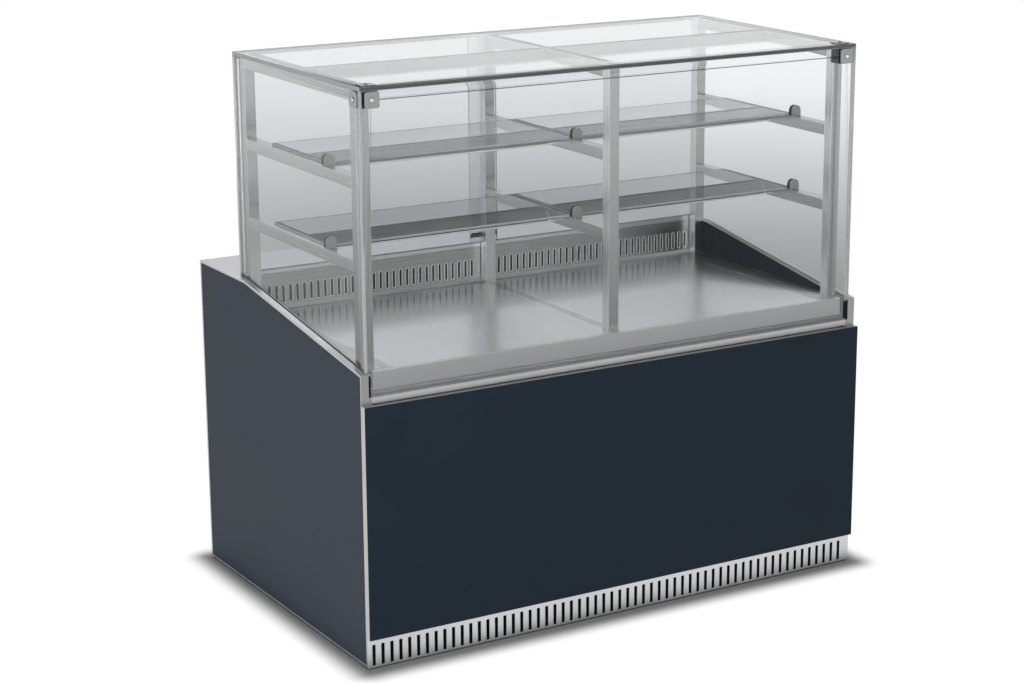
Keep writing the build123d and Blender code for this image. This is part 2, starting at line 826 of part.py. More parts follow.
COMPRESSOR_LINE_Y = SIDE_Y + EVAP_SETBACK + EVAP_DEPTH / 2
PIPE_X = EVAP_X + LINE_STUB
WALL_BACK_Y = WALL_Y + SHEET


def floor_hole(x, bottom, radius):
    """A round hole or bar down through the well's floor."""
    return rod_z(x, COMPRESSOR_LINE_Y, (bottom, LINER_FLOOR), radius)


def make_insulation():
    """Foam boards round the steel tub: floor, front, back and two ends that rise behind the air wall."""
    full_x = (-INNER_X, INNER_X)
    end_x = (LINER_X, INNER_X)
    low_z = (LINER_BOTTOM, TRAY_UNDER)
    floor = block(full_x, (RAIL_BACK_Y, WELL_BACK_Y), (WELL_BOTTOM, LINER_BOTTOM))
    floor -= [floor_hole(x, WELL_BOTTOM - 1, DRAIN_R) for x in (DRAIN_X, PIPE_X)]
    front = block(full_x, (RAIL_BACK_Y, LINER_FRONT_Y), low_z)
    back = block(full_x, (LINER_BACK_Y, WELL_BACK_Y), (LINER_BOTTOM, DECK_UNDER))
    end = block(end_x, (LINER_FRONT_Y, LINER_BACK_Y), low_z)
    riser = block(end_x, (WALL_BACK_Y, LINER_BACK_Y), (TRAY_UNDER, DECK_UNDER))
    save("well_insulation", floor, front, back, end, other_side(end), riser, other_side(riser))


def tub_outline(wall, bottom, mouth):
    """Section of the tub: low in front, and up to the deck behind the air wall."""
    return [
        (LINER_FRONT_Y + wall, bottom),
        (LINER_BACK_Y - wall, bottom),
        (LINER_BACK_Y - wall, DECK_UNDER + mouth),
        (WALL_BACK_Y - mouth, DECK_UNDER + mouth),
        (WALL_BACK_Y - mouth, TRAY_UNDER + mouth),
        (LINER_FRONT_Y + wall, TRAY_UNDER + mouth),
    ]


def make_liner():
    """Folded steel tub, open upwards and towards the air wall, with a drain spigot."""
    outer = side_prism(tub_outline(0, LINER_BOTTOM, 0), (-LINER_X, LINER_X))
    inner = side_prism(tub_outline(LINER, LINER_FLOOR, 1), (-LINER_X + LINER, LINER_X - LINER))
    tub = outer - inner - floor_hole(PIPE_X, LINER_BOTTOM - 1, DRAIN_R)
    spigot = floor_hole(DRAIN_X, WELL_BOTTOM - DRAIN_LENGTH, DRAIN_R)
    bore = floor_hole(DRAIN_X, WELL_BOTTOM - DRAIN_LENGTH - 1, DRAIN_R - LINER)
    bore += Pos(0, 0, 1) * bore
    save("well_liner", tub + spigot - bore)


# Chassis

def ring(x_half, y_span, z_span, bar):
    """A level frame of four bars with one across the middle."""
    outer = block((-x_half, x_half), y_span, z_span)
    hole = block((bar / 2, x_half - bar), (y_span[0] + bar, y_span[1] - bar), (z_span[0] - 1, z_span[1] + 1))
    return outer - hole - other_side(hole)


def make_base_frame():
    """Ring of folded steel channel, open underneath."""
    y_span = (SIDE_Y + FRAME_INSET, BACK_Y - REAR_INSET)
    z_span = (FRAME_LOW, FRAME_TOP)
    solid = ring(INNER_X, y_span, z_span, FRAME_BAR)
    y_in = (y_span[0] + FRAME_WALL, y_span[1] - FRAME_WALL)
    z_in = (FRAME_LOW - 1, FRAME_TOP - FRAME_WALL)
    hollow = ring(INNER_X - FRAME_WALL, y_in, z_in, FRAME_BAR - 2 * FRAME_WALL)
    frame = solid - hollow
    for x, y in foot_places():
        frame += rod_z(x, y, (FRAME_LOW, FRAME_TOP - FRAME_WALL), FOOT_BOSS_R)
    save("base_frame", frame)


def foot_places():
    edge = FOOT_INSET
    rows = (SIDE_Y + FRAME_INSET + edge, BACK_Y - REAR_INSET - edge)
    return [(x, y) for y in rows for x in (-INNER_X + edge, 0, INNER_X - edge)]


def levelling_foot(x, y):
    pad = rod_z(x, y, (0, FOOT_PAD), FOOT_R)
    pad = chamfer(pad.edges().sort_by(Axis.Z)[-1], FOOT_PAD / 2)
    stud = rod_z(x, y, (FOOT_PAD, FRAME_LOW), FOOT_STUD_R)
    nut_face = Plane.XY * RegularPolygon(FOOT_NUT_R, 6)
    nut = Pos(x, y, FRAME_LOW - FOOT_NUT) * extrude(nut_face, FOOT_NUT)
    return pad + stud + nut


def make_feet():
    save("levelling_feet", *[levelling_foot(x, y) for x, y in foot_places()])


def make_base_pan():
    y_span = (SIDE_Y + FRAME_INSET, BACK_Y - REAR_INSET)
    plate = block((-INNER_X, INNER_X), y_span, (FRAME_TOP, PAN_TOP))
    rim = block((-INNER_X, INNER_X), y_span, (FRAME_TOP, PAN_TOP + PAN_RIM))
    hollow = block(
        (-INNER_X + SHEET, INNER_X - SHEET),
        (y_span[0] + SHEET, y_span[1] - SHEET),
        (FRAME_TOP - 1, PAN_TOP + PAN_RIM + 1),
    )
    save("base_pan", plate + (rim - hollow))


def make_well_stand():
    """Angle legs with a ring on top that carries the well."""
    inner_x = INNER_X - SHEET
    front = RAIL_BACK_Y
    ring_z = (WELL_BOTTOM - STAND_RING, WELL_BOTTOM)
    stand = ring(inner_x, (front, WELL_BACK_Y), ring_z, LEG_WIDTH)
    leg_z = (PAN_TOP, ring_z[0])
    for y_span, y_wall in (
        ((front, front + LEG_WIDTH), (front, front + FRAME_WALL)),
        ((WELL_BACK_Y - LEG_WIDTH, WELL_BACK_Y), (WELL_BACK_Y - FRAME_WALL, WELL_BACK_Y)),
    ):
        for x_span, x_wall in (
            ((inner_x - LEG_WIDTH, inner_x), (inner_x - FRAME_WALL, inner_x)),
            ((-LEG_WIDTH / 2, LEG_WIDTH / 2), (-FRAME_WALL / 2, FRAME_WALL / 2)),
            ((-inner_x, -inner_x + LEG_WIDTH), (-inner_x, -inner_x + FRAME_WALL)),
        ):
            stand += block(x_span, y_wall, leg_z)
            stand += block(x_wall, y_span, leg_z)
    save("well_stand", stand)


# Rear of the base

def make_deck():
    """Folded steel worktop behind the glass, over the side panels as far as their edge trim."""
    rest_y = (GLASS_REAR_Y + GROOVE_GAP, BACK_Y - TRIM)
    edge = HALF - TRIM
    deck = block((-edge, edge), rest_y, (DECK_UNDER, DECK_TOP))
    deck += block((-INNER_X, INNER_X), (WALL_Y, BACK_Y), (DECK_UNDER, DECK_TOP))
    deck += block((-INNER_X, INNER_X), (BACK_Y - DECK_SHEET, BACK_Y), (DECK_TOP - DECK_DROP, DECK_TOP))
    save("rear_deck", deck)


def rear_sheet(z_span):
    """Flat sheet with its top and bottom edges folded inwards."""
    x_span = (-INNER_X, INNER_X)
    sheet = block(x_span, (REAR_PANEL_Y, CONTROL_Y), z_span)
    inset = (REAR_PANEL_Y - REAR_FLANGE, REAR_PANEL_Y)
    sheet += block(x_span, inset, (z_span[0], z_span[0] + SHEET))
    sheet += block(x_span, inset, (z_span[1] - SHEET, z_span[1]))
    return sheet


def make_rear_panels():
    upper = rear_sheet((REAR_SPLIT, DECK_UNDER))
    border = CONTROL_BORDER / 2
    upper -= block(
        (CONTROL_X - CONTROL_WIDTH / 2 + border, CONTROL_X + CONTROL_WIDTH / 2 - border),
        (REAR_PANEL_Y - 1, CONTROL_Y + 1),
        (CONTROL_Z - CONTROL_HEIGHT / 2 + border, CONTROL_Z + CONTROL_HEIGHT / 2 - border),
    )
    lower_z = (PAN_TOP + PAN_RIM + SEAT_GAP, REAR_SPLIT - REAR_JOINT)
    lower = rear_sheet(lower_z)
    apron = block((-INNER_X, INNER_X), (REAR_PANEL_Y, CONTROL_Y), (FLOOR_GAP + TRIM, lower_z[0]))
    lower += apron
    mid = (LOUVRE_COLUMNS - 1) / 2
    for column in range(LOUVRE_COLUMNS):
        for row in range(LOUVRE_ROWS):
            x = (column - mid) * LOUVRE_PITCH_X
            z = PAN_TOP + LOUVRE_LOW + row * LOUVRE_PITCH_Z
            lower -= block(
                (x - LOUVRE_LENGTH / 2, x + LOUVRE_LENGTH / 2),
                (REAR_PANEL_Y - 1, CONTROL_Y + 1),
                (z, z + LOUVRE_HEIGHT),
            )
    lower -= block(
        (INLET_X - INLET_WIDTH / 2, INLET_X + INLET_WIDTH / 2),
        (REAR_PANEL_Y - 1, CONTROL_Y + 1),
        (INLET_Z + PAN_TOP - INLET_HEIGHT / 2, INLET_Z + PAN_TOP + INLET_HEIGHT / 2),
    )
    save("rear_upper_panel", upper)
    save("rear_louvre_panel", lower)


CONTROL_FACE_Y = CONTROL_Y + CONTROL_DEPTH
BUTTON_PLACES = {
    f"button_{name}": CONTROL_X + (BUTTON_PLACE + n * BUTTON_STEP) * CONTROL_WIDTH
    for n, name in enumerate(("up", "down", "set"))
}
ROCKER_X = CONTROL_X + SWITCH_PLACE * CONTROL_WIDTH


def make_control_panel():
    bezel = block(
        (CONTROL_X - CONTROL_WIDTH / 2, CONTROL_X + CONTROL_WIDTH / 2),
        (CONTROL_Y, CONTROL_FACE_Y),
        (CONTROL_Z - CONTROL_HEIGHT / 2, CONTROL_Z + CONTROL_HEIGHT / 2),
    )
    bezel = chamfer(bezel.faces().sort_by(Axis.Y)[-1].edges(), CONTROL_CHAMFER)
    lens_x = CONTROL_X + LENS_PLACE * CONTROL_WIDTH
    lens_half = LENS_SHARE * CONTROL_WIDTH / 2
    lens = block(
        (lens_x - lens_half, lens_x + lens_half),
        (CONTROL_FACE_Y - LENS_THICK, CONTROL_FACE_Y),
        (CONTROL_Z - LENS_HEIGHT / 2, CONTROL_Z + LENS_HEIGHT / 2),
    )
    rocker_hole = block(
        (ROCKER_X - SWITCH_WIDTH / 2 - SWITCH_GAP, ROCKER_X + SWITCH_WIDTH / 2 + SWITCH_GAP),
        (CONTROL_Y - 1, CONTROL_FACE_Y + 1),
        (CONTROL_Z - SWITCH_HEIGHT / 2 - SWITCH_END_GAP, CONTROL_Z + SWITCH_HEIGHT / 2 + SWITCH_END_GAP),
    )
    bezel = bezel - lens - rocker_hole
    for x in BUTTON_PLACES.values():
        bezel -= rod_y(x, (CONTROL_Y - 1, CONTROL_FACE_Y + 1), CONTROL_Z, BUTTON_R + BUTTON_GAP)
    save("control_panel", bezel)
    save("display_lens", lens)


def make_buttons():
    for name, x in BUTTON_PLACES.items():
        stem = rod_y(x, (CONTROL_Y - BUTTON_GAP, CONTROL_FACE_Y + BUTTON_PROUD), CONTROL_Z, BUTTON_R)
        flange = rod_y(
            x,
            (CONTROL_Y - BUTTON_GAP - BUTTON_FLANGE, CONTROL_Y - BUTTON_GAP),
            CONTROL_Z,
            BUTTON_R + BUTTON_FLANGE,
        )
        save(name, stem + flange)


def make_power_switch():
    """Rocker at rest in one of its two tilted places, turning about its middle."""
    middle_y = CONTROL_FACE_Y - SWITCH_DEPTH / 2 + BUTTON_PROUD / 2
    cap = Box(SWITCH_WIDTH, SWITCH_DEPTH, SWITCH_HEIGHT)
    cap = fillet(cap.edges().filter_by(Axis.X), BUTTON_PROUD / 2)
    save("power_switch", Pos(ROCKER_X, middle_y, CONTROL_Z) * Rot(SWITCH_TILT, 0, 0) * cap)


def make_power_inlet():
    """Three-pin appliance inlet with a rim outside the panel."""
    z = PAN_TOP + INLET_Z
    body_gap = SEAT_GAP
    half_x = INLET_WIDTH / 2 - body_gap
    half_z = INLET_HEIGHT / 2 - body_gap
    rim_x = half_x + INLET_FLANGE_EDGE
    rim_z = half_z + INLET_FLANGE_EDGE / 2
    face = CONTROL_Y + INLET_FLANGE
    body = block((INLET_X - half_x, INLET_X + half_x), (face - INLET_DEPTH, face), (z - half_z, z + half_z))
    body += block((INLET_X - rim_x, INLET_X + rim_x), (CONTROL_Y, face), (z - rim_z, z + rim_z))
    body -= block(
        (INLET_X - half_x + INLET_WALL, INLET_X + half_x - INLET_WALL),
        (face - INLET_DEPTH + INLET_WALL, face + 1),
        (z - half_z + INLET_WALL, z + half_z - INLET_WALL),
    )
    for dx, dz in ((-1, 0), (0, 1 / 2), (1, 0)):
        x = INLET_X + dx * INLET_PIN_PITCH
        pin_z = z + dz * INLET_PIN_PITCH - INLET_PIN
        body += block(
            (x - INLET_PIN / 2, x + INLET_PIN / 2),
            (face - INLET_DEPTH + INLET_WALL / 2, face - INLET_FLANGE),
            (pin_z, pin_z + 2 * INLET_PIN),
        )
    save("power_inlet", body)


# Condensing unit

COIL_Y = SIDE_Y + COIL_SETBACK
COIL_BACK_Y = COIL_Y + COIL_DEPTH
SHROUD_BACK_Y = COIL_BACK_Y + SHROUD_DEPTH
COIL_LOW = PAN_TOP + COIL_LIFT
COIL_TOP = COIL_LOW + COIL_HEIGHT
FAN_Z = (COIL_LOW + COIL_TOP) / 2
MOTOR_Y = SHROUD_BACK_Y + MOTOR_ARM_THICK
FAN_REAR_Y = MOTOR_Y - MOTOR_GAP
COMPRESSOR_TOP = PAN_TOP + COMPRESSOR_FOOT_LIFT + COMPRESSOR_HEIGHT


def make_compressor():
    y = SIDE_Y + COMPRESSOR_Y
    low = PAN_TOP + COMPRESSOR_FOOT_LIFT
    pot = rod_z(COMPRESSOR_X, y, (low, COMPRESSOR_TOP), COMPRESSOR_R)
    pot = fillet(pot.edges().sort_by(Axis.Z)[-1], COMPRESSOR_DOME)
    half = COMPRESSOR_FEET / 2
    plate = block(
        (COMPRESSOR_X - half, COMPRESSOR_X + half),
        (y - half, y + half),
        (low, low + COMPRESSOR_FOOT_THICK),
    )
    plate = fillet(plate.edges().filter_by(Axis.Z), COMPRESSOR_FOOT_LIFT)
    compressor = pot + plate
    for dx in (-1, 1):
        for dy in (-1, 1):
            x = COMPRESSOR_X + dx * (half - COMPRESSOR_FOOT_LIFT)
            compressor += rod_z(x, y + dy * (half - COMPRESSOR_FOOT_LIFT), (PAN_TOP, low), FOOT_NUT_R)
    save("compressor", compressor)


def finned_core(x_half, y_span, z_span, fins):
    """A block of fins along X round a core that is set back from the fins' edges."""
    core = block(
        (-x_half, x_half),
        (y_span[0] + COIL_CORE_INSET, y_span[1] - COIL_CORE_INSET),
        (z_span[0] + COIL_CORE_INSET, z_span[1] - COIL_CORE_INSET),
    )
    pitch = 2 * x_half / fins
    for n in range(fins):
        x = -x_half + (n + 1 / 2) * pitch
        core += block((x - COIL_FIN_THICK / 2, x + COIL_FIN_THICK / 2), y_span, z_span)
    return core


def make_condenser():
    coil = finned_core(COIL_X, (COIL_Y, COIL_BACK_Y), (COIL_LOW, COIL_TOP), COIL_FINS)
    end = block((COIL_X, COIL_X + COIL_END), (COIL_Y, COIL_BACK_Y), (PAN_TOP, COIL_TOP))
    save("condenser_coil", coil + end + other_side(end))
    width = COIL_X + COIL_END
    shroud = block((-width, width), (COIL_BACK_Y, SHROUD_BACK_Y), (PAN_TOP, COIL_TOP))
    shroud -= block(
        (-width + SHROUD_WALL, width - SHROUD_WALL),
        (COIL_BACK_Y - 1, SHROUD_BACK_Y - SHROUD_WALL),
        (PAN_TOP + SHROUD_WALL, COIL_TOP - SHROUD_WALL),
    )
    shroud -= rod_y(0, (SHROUD_BACK_Y - SHROUD_WALL - 1, SHROUD_BACK_Y + 1), FAN_Z, FAN_R + FAN_RING_GAP)
    save("condenser_shroud", shroud)


def make_fan_motor():
    """Motor on four arms that screw to the shroud, with its shaft towards the coil."""
    motor = rod_y(0, (MOTOR_Y, MOTOR_Y + MOTOR_LENGTH), FAN_Z, MOTOR_R)
    motor += rod_y(0, (FAN_REAR_Y - FAN_HUB_LENGTH, MOTOR_Y), FAN_Z, FAN_SHAFT_R)
    reach = FAN_R + FAN_RING_GAP + MOTOR_ARM
    for turn in range(45, 360, 90):
        arm = block((MOTOR_R / 2, reach), (SHROUD_BACK_Y, MOTOR_Y), (-MOTOR_ARM / 2, MOTOR_ARM / 2))
        motor += Pos(0, 0, FAN_Z) * Rot(0, turn, 0) * arm
    save("condenser_fan_motor", motor)


def make_condenser_fan():
    front = FAN_REAR_Y - FAN_HUB_LENGTH
    fan = rod_y(0, (front, FAN_REAR_Y), FAN_Z, FAN_HUB_R)
    root = FAN_HUB_R / 2
    for n in range(FAN_BLADES):
        blade = block(
            (root, FAN_R),
            (-FAN_BLADE_THICK / 2, FAN_BLADE_THICK / 2),
            (-FAN_BLADE_CHORD / 2, FAN_BLADE_CHORD / 2),
        )
        blade = Rot(FAN_BLADE_PITCH, 0, 0) * blade
        middle = (front + FAN_REAR_Y) / 2
        fan += Pos(0, middle, FAN_Z) * Rot(0, n * 360 / FAN_BLADES, 0) * blade
    fan -= rod_y(0, (front - 1, FAN_REAR_Y + 1), FAN_Z, FAN_SHAFT_R + FAN_SHAFT_GAP)
    save("condenser_fan", fan)


# Evaporator

EVAP_Y = SIDE_Y + EVAP_SETBACK
ROTOR_Y = SIDE_Y + ROTOR_SETBACK
ROTOR_Z = LINER_FLOOR + ROTOR_LIFT


def make_evaporator():
    low = LINER_FLOOR + EVAP_LIFT
    top = low + EVAP_HEIGHT
    coil = finned_core(EVAP_X, (EVAP_Y, EVAP_Y + EVAP_DEPTH), (low, top), EVAP_FINS)
    plate_y = (ROTOR_Y - ROTOR_R - EVAP_PLATE_MARGIN, EVAP_Y + EVAP_DEPTH)
    end = block((EVAP_X, EVAP_X + EVAP_END), plate_y, (LINER_FLOOR, top))
    end -= rod_x((EVAP_X - 1, EVAP_X + EVAP_END + 1), ROTOR_Y, ROTOR_Z, ROTOR_SHAFT_R + ROTOR_GAP)
    save("evaporator_coil", coil + end + other_side(end))


def make_evaporator_fan():
    """Cross-flow rotor: discs joined by a ring of slats, on a shaft that turns in the coil's end plates."""
    end = EVAP_X - ROTOR_END_GAP
    rotor = rod_x((-EVAP_X - EVAP_END, EVAP_X + EVAP_END), 0, 0, ROTOR_SHAFT_R)
    for n in range(ROTOR_DISCS):
        x = -end + ROTOR_DISC / 2 + n * (2 * end - ROTOR_DISC) / (ROTOR_DISCS - 1)
        rotor += rod_x((x - ROTOR_DISC / 2, x + ROTOR_DISC / 2), 0, 0, ROTOR_R)
    slat = block(
        (-end, end),
        (ROTOR_R - ROTOR_BLADE_WIDTH, ROTOR_R - 1),
        (-ROTOR_BLADE_THICK / 2, ROTOR_BLADE_THICK / 2),
    )
    for n in range(ROTOR_BLADES):
        rotor += Rot(n * 360 / ROTOR_BLADES, 0, 0) * slat
    save("evaporator_fan", Pos(0, ROTOR_Y, ROTOR_Z) * rotor)


def pipe(points):
    """A round pipe through the points, with the same bend at each corner."""
    path = FilletPolyline(*points, radius=LINE_BEND)
    start = Plane(origin=points[0], z_dir=Vector(*points[1]) - Vector(*points[0]))
    return sweep(start * Circle(LINE_R), path=path)


def make_refrigerant_lines():
    """Hot line from the compressor to the condenser, and a line up through the well's floor."""
    compressor_y = SIDE_Y + COMPRESSOR_Y
    side = COIL_X + COIL_END
    coil_y = COIL_Y + COIL_DEPTH / 2
    over_z = COMPRESSOR_TOP + 2 * LINE_BEND
    hot = pipe(
        [
            (COMPRESSOR_X, compressor_y, COMPRESSOR_TOP),
            (COMPRESSOR_X, compressor_y, over_z),
            (COMPRESSOR_X, coil_y, over_z),
            (COMPRESSOR_X, coil_y, FAN_Z),
            (side, coil_y, FAN_Z),
        ]
    )
    evap_z = LINER_FLOOR + EVAP_LIFT + EVAP_HEIGHT / 2
    cold = pipe(
        [
            (COMPRESSOR_X + PORT_OFFSET, compressor_y, COMPRESSOR_TOP),
            (COMPRESSOR_X + PORT_OFFSET, compressor_y, over_z),
            (PIPE_X, COMPRESSOR_LINE_Y, over_z),
            (PIPE_X, COMPRESSOR_LINE_Y, evap_z),
            (EVAP_X + EVAP_END, COMPRESSOR_LINE_Y, evap_z),
        ]
    )
    save("refrigerant_lines", hot, cold)


os.makedirs("parts", exist_ok=True)
make_side_panels()
make_front_panel()
make_kick_grille()
make_front_rail()
make_gaskets()
make_sill()
make_glass()
make_brackets()
make_screws()
make_posts_and_rails()
make_lights()
make_shelves()
make_stops()
make_door_frame()
make_doors()
make_air_wall()
make_trays()
make_tray_supports()
make_insulation()
make_liner()
make_base_frame()
make_feet()
make_base_pan()
make_well_stand()
make_deck()
make_rear_panels()
make_control_panel()
make_buttons()
make_power_switch()
make_power_inlet()
make_compressor()
make_condenser()
make_fan_motor()
make_condenser_fan()
make_evaporator()
make_evaporator_fan()
make_refrigerant_lines()
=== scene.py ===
import math

import bmesh
import bpy
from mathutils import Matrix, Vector


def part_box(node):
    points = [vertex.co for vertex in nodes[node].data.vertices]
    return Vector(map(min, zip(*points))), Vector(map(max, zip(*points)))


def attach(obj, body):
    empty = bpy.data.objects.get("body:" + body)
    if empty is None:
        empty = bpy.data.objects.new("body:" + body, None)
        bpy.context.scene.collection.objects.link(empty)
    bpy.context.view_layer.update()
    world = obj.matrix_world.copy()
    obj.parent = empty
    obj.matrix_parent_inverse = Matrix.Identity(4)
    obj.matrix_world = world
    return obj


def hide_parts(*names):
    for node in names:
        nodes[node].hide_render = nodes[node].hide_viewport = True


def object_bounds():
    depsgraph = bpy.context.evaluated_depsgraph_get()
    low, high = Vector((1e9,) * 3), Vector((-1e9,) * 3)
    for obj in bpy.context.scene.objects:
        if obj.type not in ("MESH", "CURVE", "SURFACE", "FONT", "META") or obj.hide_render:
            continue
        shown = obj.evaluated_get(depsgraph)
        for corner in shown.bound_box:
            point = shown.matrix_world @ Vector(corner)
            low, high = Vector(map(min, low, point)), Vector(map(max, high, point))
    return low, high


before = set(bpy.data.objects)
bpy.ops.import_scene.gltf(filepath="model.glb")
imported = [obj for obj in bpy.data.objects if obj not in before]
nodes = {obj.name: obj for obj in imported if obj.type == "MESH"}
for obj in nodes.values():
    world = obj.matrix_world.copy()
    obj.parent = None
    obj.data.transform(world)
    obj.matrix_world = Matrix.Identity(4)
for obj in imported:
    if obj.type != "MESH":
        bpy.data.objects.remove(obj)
cad_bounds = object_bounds()
scene = bpy.context.scene
scene.view_settings.view_transform = "Standard"
MM = 0.001

# Camera, solved from the straight edges of the case in the photograph

CAMERA_PLACE = (-2.69008, -4.52577, 1.92658)
CAMERA_TURN = (75.142, -0.0576, -31.9764)
CAMERA_LENS = 83.3565
CAMERA_SHIFT = -0.0664
SENSOR_WIDTH = 36
VIEW_REACH = 60


def make_camera():
    data = bpy.data.cameras.new("camera")
    data.lens = CAMERA_LENS
    data.sensor_width = SENSOR_WIDTH
    data.shift_x = CAMERA_SHIFT
    data.clip_end = VIEW_REACH
    camera = bpy.data.objects.new("camera", data)
    camera.location = CAMERA_PLACE
    camera.rotation_euler = [math.radians(a) for a in CAMERA_TURN]
    scene.collection.objects.link(camera)
    scene.camera = camera


make_camera()


# Node helpers

class Nodes:
    """A material with one Principled shader, and short calls for the nodes that feed it."""

    def __init__(self, name, color, rough, metal=0.0, **sockets):
        self.mat = bpy.data.materials.new(name)
        self.mat.use_nodes = True
        self.tree = self.mat.node_tree
        self.shader = self.tree.nodes["Principled BSDF"]
        self.output = self.tree.nodes["Material Output"]
        self.set("Base Color", (*color, 1))
        self.set("Roughness", rough)
        self.set("Metallic", metal)
        for socket, value in sockets.items():
            self.set(socket.replace("_", " "), value)
        self.place = self.add("ShaderNodeTexCoord").outputs["Object"]

    def set(self, socket, value):
        self.shader.inputs[socket].default_value = value

    def add(self, kind, **values):
        node = self.tree.nodes.new(kind)
        for key, value in values.items():
            setattr(node, key, value)
        return node

    def link(self, a, b):
        self.tree.links.new(a, b)

    def pattern(self, kind, size):
        """A texture whose features are about size metres along each axis."""
        scale = self.add("ShaderNodeMapping")
        scale.inputs["Scale"].default_value = [1 / s for s in size]
        self.link(self.place, scale.inputs["Vector"])
        node = self.add(kind)
        node.inputs["Scale"].default_value = 1
        self.link(scale.outputs["Vector"], node.inputs["Vector"])
        return node

    def noise(self, size, detail=2.0, rough=0.5):
        node = self.pattern("ShaderNodeTexNoise", size)
        node.inputs["Detail"].default_value = detail
        node.inputs["Roughness"].default_value = rough
        return node.outputs["Fac"]

    def cells(self, size):
        return self.pattern("ShaderNodeTexVoronoi", (size, size, size))

    def span(self, source, low, high, start=0.3, end=0.7):
        """Source between start and end, turned into low to high."""
        node = self.add("ShaderNodeMapRange")
        for socket, value in zip(("From Min", "From Max", "To Min", "To Max"), (start, end, low, high)):
            node.inputs[socket].default_value = value
        self.link(source, node.inputs["Value"])
        return node.outputs["Result"]

    def blend(self, factor, a, b):
        mix = self.add("ShaderNodeMix", data_type="RGBA")
        self.link(factor, mix.inputs["Factor"])
        for socket, value in ((mix.inputs["A"], a), (mix.inputs["B"], b)):
            if isinstance(value, tuple):
                socket.default_value = (*value, 1)
            else:
                self.link(value, socket)
        return mix.outputs["Result"]

    def color(self, source):
        self.link(source, self.shader.inputs["Base Color"])

    def rough(self, source):
        self.link(source, self.shader.inputs["Roughness"])

    def bump(self, source, distance):
        bump = self.add("ShaderNodeBump")
        bump.inputs["Distance"].default_value = distance
        self.link(source, bump.inputs["Height"])
        self.link(bump.outputs["Normal"], self.shader.inputs["Normal"])


def tone(color, factor):
    return tuple(min(1.0, c * factor) for c in color)


# Metal: the length and width of its streaks, and the clouds over them
STREAK_LONG = 0.30
STREAK_FINE = 0.0007
STREAK_SHEEN = 0.8
CLOUD_SIZE = (0.22, 0.22, 0.22)
CLOUD_SHARE = 0.35
CLOUD_TONE = 0.92
# Satin: its mottling
MOTTLE_SIZE = (0.16, 0.16, 0.16)
MOTTLE_TONES = (0.94, 1.06)
MOTTLE_SHEEN = (-0.03, 0.04)
CRYSTAL_SIZE = 0.009
CRYSTAL_RELIEF = (0.002, 0.002, 0.002)
FOAM_CELL = 0.0016
STAIN_SIZE = (0.03, 0.03, 0.03)
STAIN_COLOR = (0.38, 0.19, 0.12)
FIN_SCALE = 60


def streak_size(axis):
    return [STREAK_LONG if a == axis else STREAK_FINE for a in "xyz"]


def brushed(name, color, rough, axis, depth=0.000012, streak=0.06):
    """Brushed metal: long fine streaks along one axis, and a slow cloudy change of tone."""
    m = Nodes(name, color, rough, 1.0)
    streaks = m.noise(streak_size(axis), detail=3)
    clouds = m.noise(CLOUD_SIZE, detail=1)
    fine = m.blend(m.span(streaks, 0, 1), tone(color, 1 - streak), tone(color, 1 + streak))
    m.color(m.blend(m.span(clouds, 0, CLOUD_SHARE), fine, tone(color, CLOUD_TONE)))
    m.rough(m.span(streaks, rough - STREAK_SHEEN * streak, rough + streak))
    m.bump(streaks, depth)
    return m.mat


def satin(name, color, rough, metal=0.0, size=0.0009, depth=0.00002, **sockets):
    """Even satin finish with a fine grain, slow mottling and a little wear in the sheen."""
    m = Nodes(name, color, rough, metal, **sockets)
    grain = m.noise((size, size, size), detail=2)
    clouds = m.noise(MOTTLE_SIZE, detail=3)
    m.color(m.blend(m.span(clouds, 0, 1), *(tone(color, t) for t in MOTTLE_TONES)))
    m.rough(m.span(clouds, *(rough + change for change in MOTTLE_SHEEN)))
    m.bump(grain, depth)
    return m.mat


def zinc():
    """Zinc coating with its patchwork of crystals."""
    color = (0.46, 0.48, 0.50)
    m = Nodes("zinc", color, 0.4, 1.0)
    cells = m.cells(CRYSTAL_SIZE)
    split = m.add("ShaderNodeSeparateColor")
    m.link(cells.outputs["Color"], split.inputs["Color"])
    m.color(m.blend(split.outputs["Red"], tone(color, 0.8), tone(color, 1.15)))
    m.rough(m.span(split.outputs["Green"], 0.32, 0.5, 0, 1))
    m.bump(m.noise(CRYSTAL_RELIEF), 0.00002)
    return m.mat


def foam_board():
    """Foamed board with its small cells."""
    color = (0.78, 0.66, 0.38)
    m = Nodes("foam_board", color, 0.85)
    cells = m.cells(FOAM_CELL)
    m.color(m.blend(m.span(cells.outputs["Distance"], 0, 1, 0.1, 0.7), color, tone(color, 0.8)))
    m.bump(cells.outputs["Distance"], 0.0004)
    return m.mat


def copper():
    """Bare copper with dull stains."""
    color = (0.83, 0.44, 0.28)
    m = Nodes("copper_tube", color, 0.3, 1.0)
    stains = m.noise(STAIN_SIZE, detail=5, rough=0.6)
    m.color(m.blend(m.span(stains, 0, 1, 0.45, 0.7), color, STAIN_COLOR))
    m.rough(m.span(stains, 0.24, 0.5))
    return m.mat


def fins():
    """Thin aluminium fins, finer than the solid's own, as shallow ribs."""
    color = (0.62, 0.64, 0.66)
    m = Nodes("fins", color, 0.42, 1.0)
    wave = m.add("ShaderNodeTexWave", wave_type="BANDS", bands_direction="Z")
    wave.inputs["Scale"].default_value = FIN_SCALE
    m.link(m.place, wave.inputs["Vector"])
    m.color(m.blend(wave.outputs["Fac"], tone(color, 0.75), color))
    m.bump(wave.outputs["Fac"], 0.0002)
    return m.mat


GLASS_IOR = 1.2
EDGE_IOR = 1.5
EDGE_CLEARNESS = 0.45
EDGE_SHADOW = (0.7, 0.75, 0.73)
GRIT = (0.0006, 0.0006, 0.0006)
GLASS_TONE_SIZE = (0.5, 0.5, 0.5)
ROLLER_MARKS = (0.12, 0.35, 0.35)
ROLLER_DEPTH = 0.000006


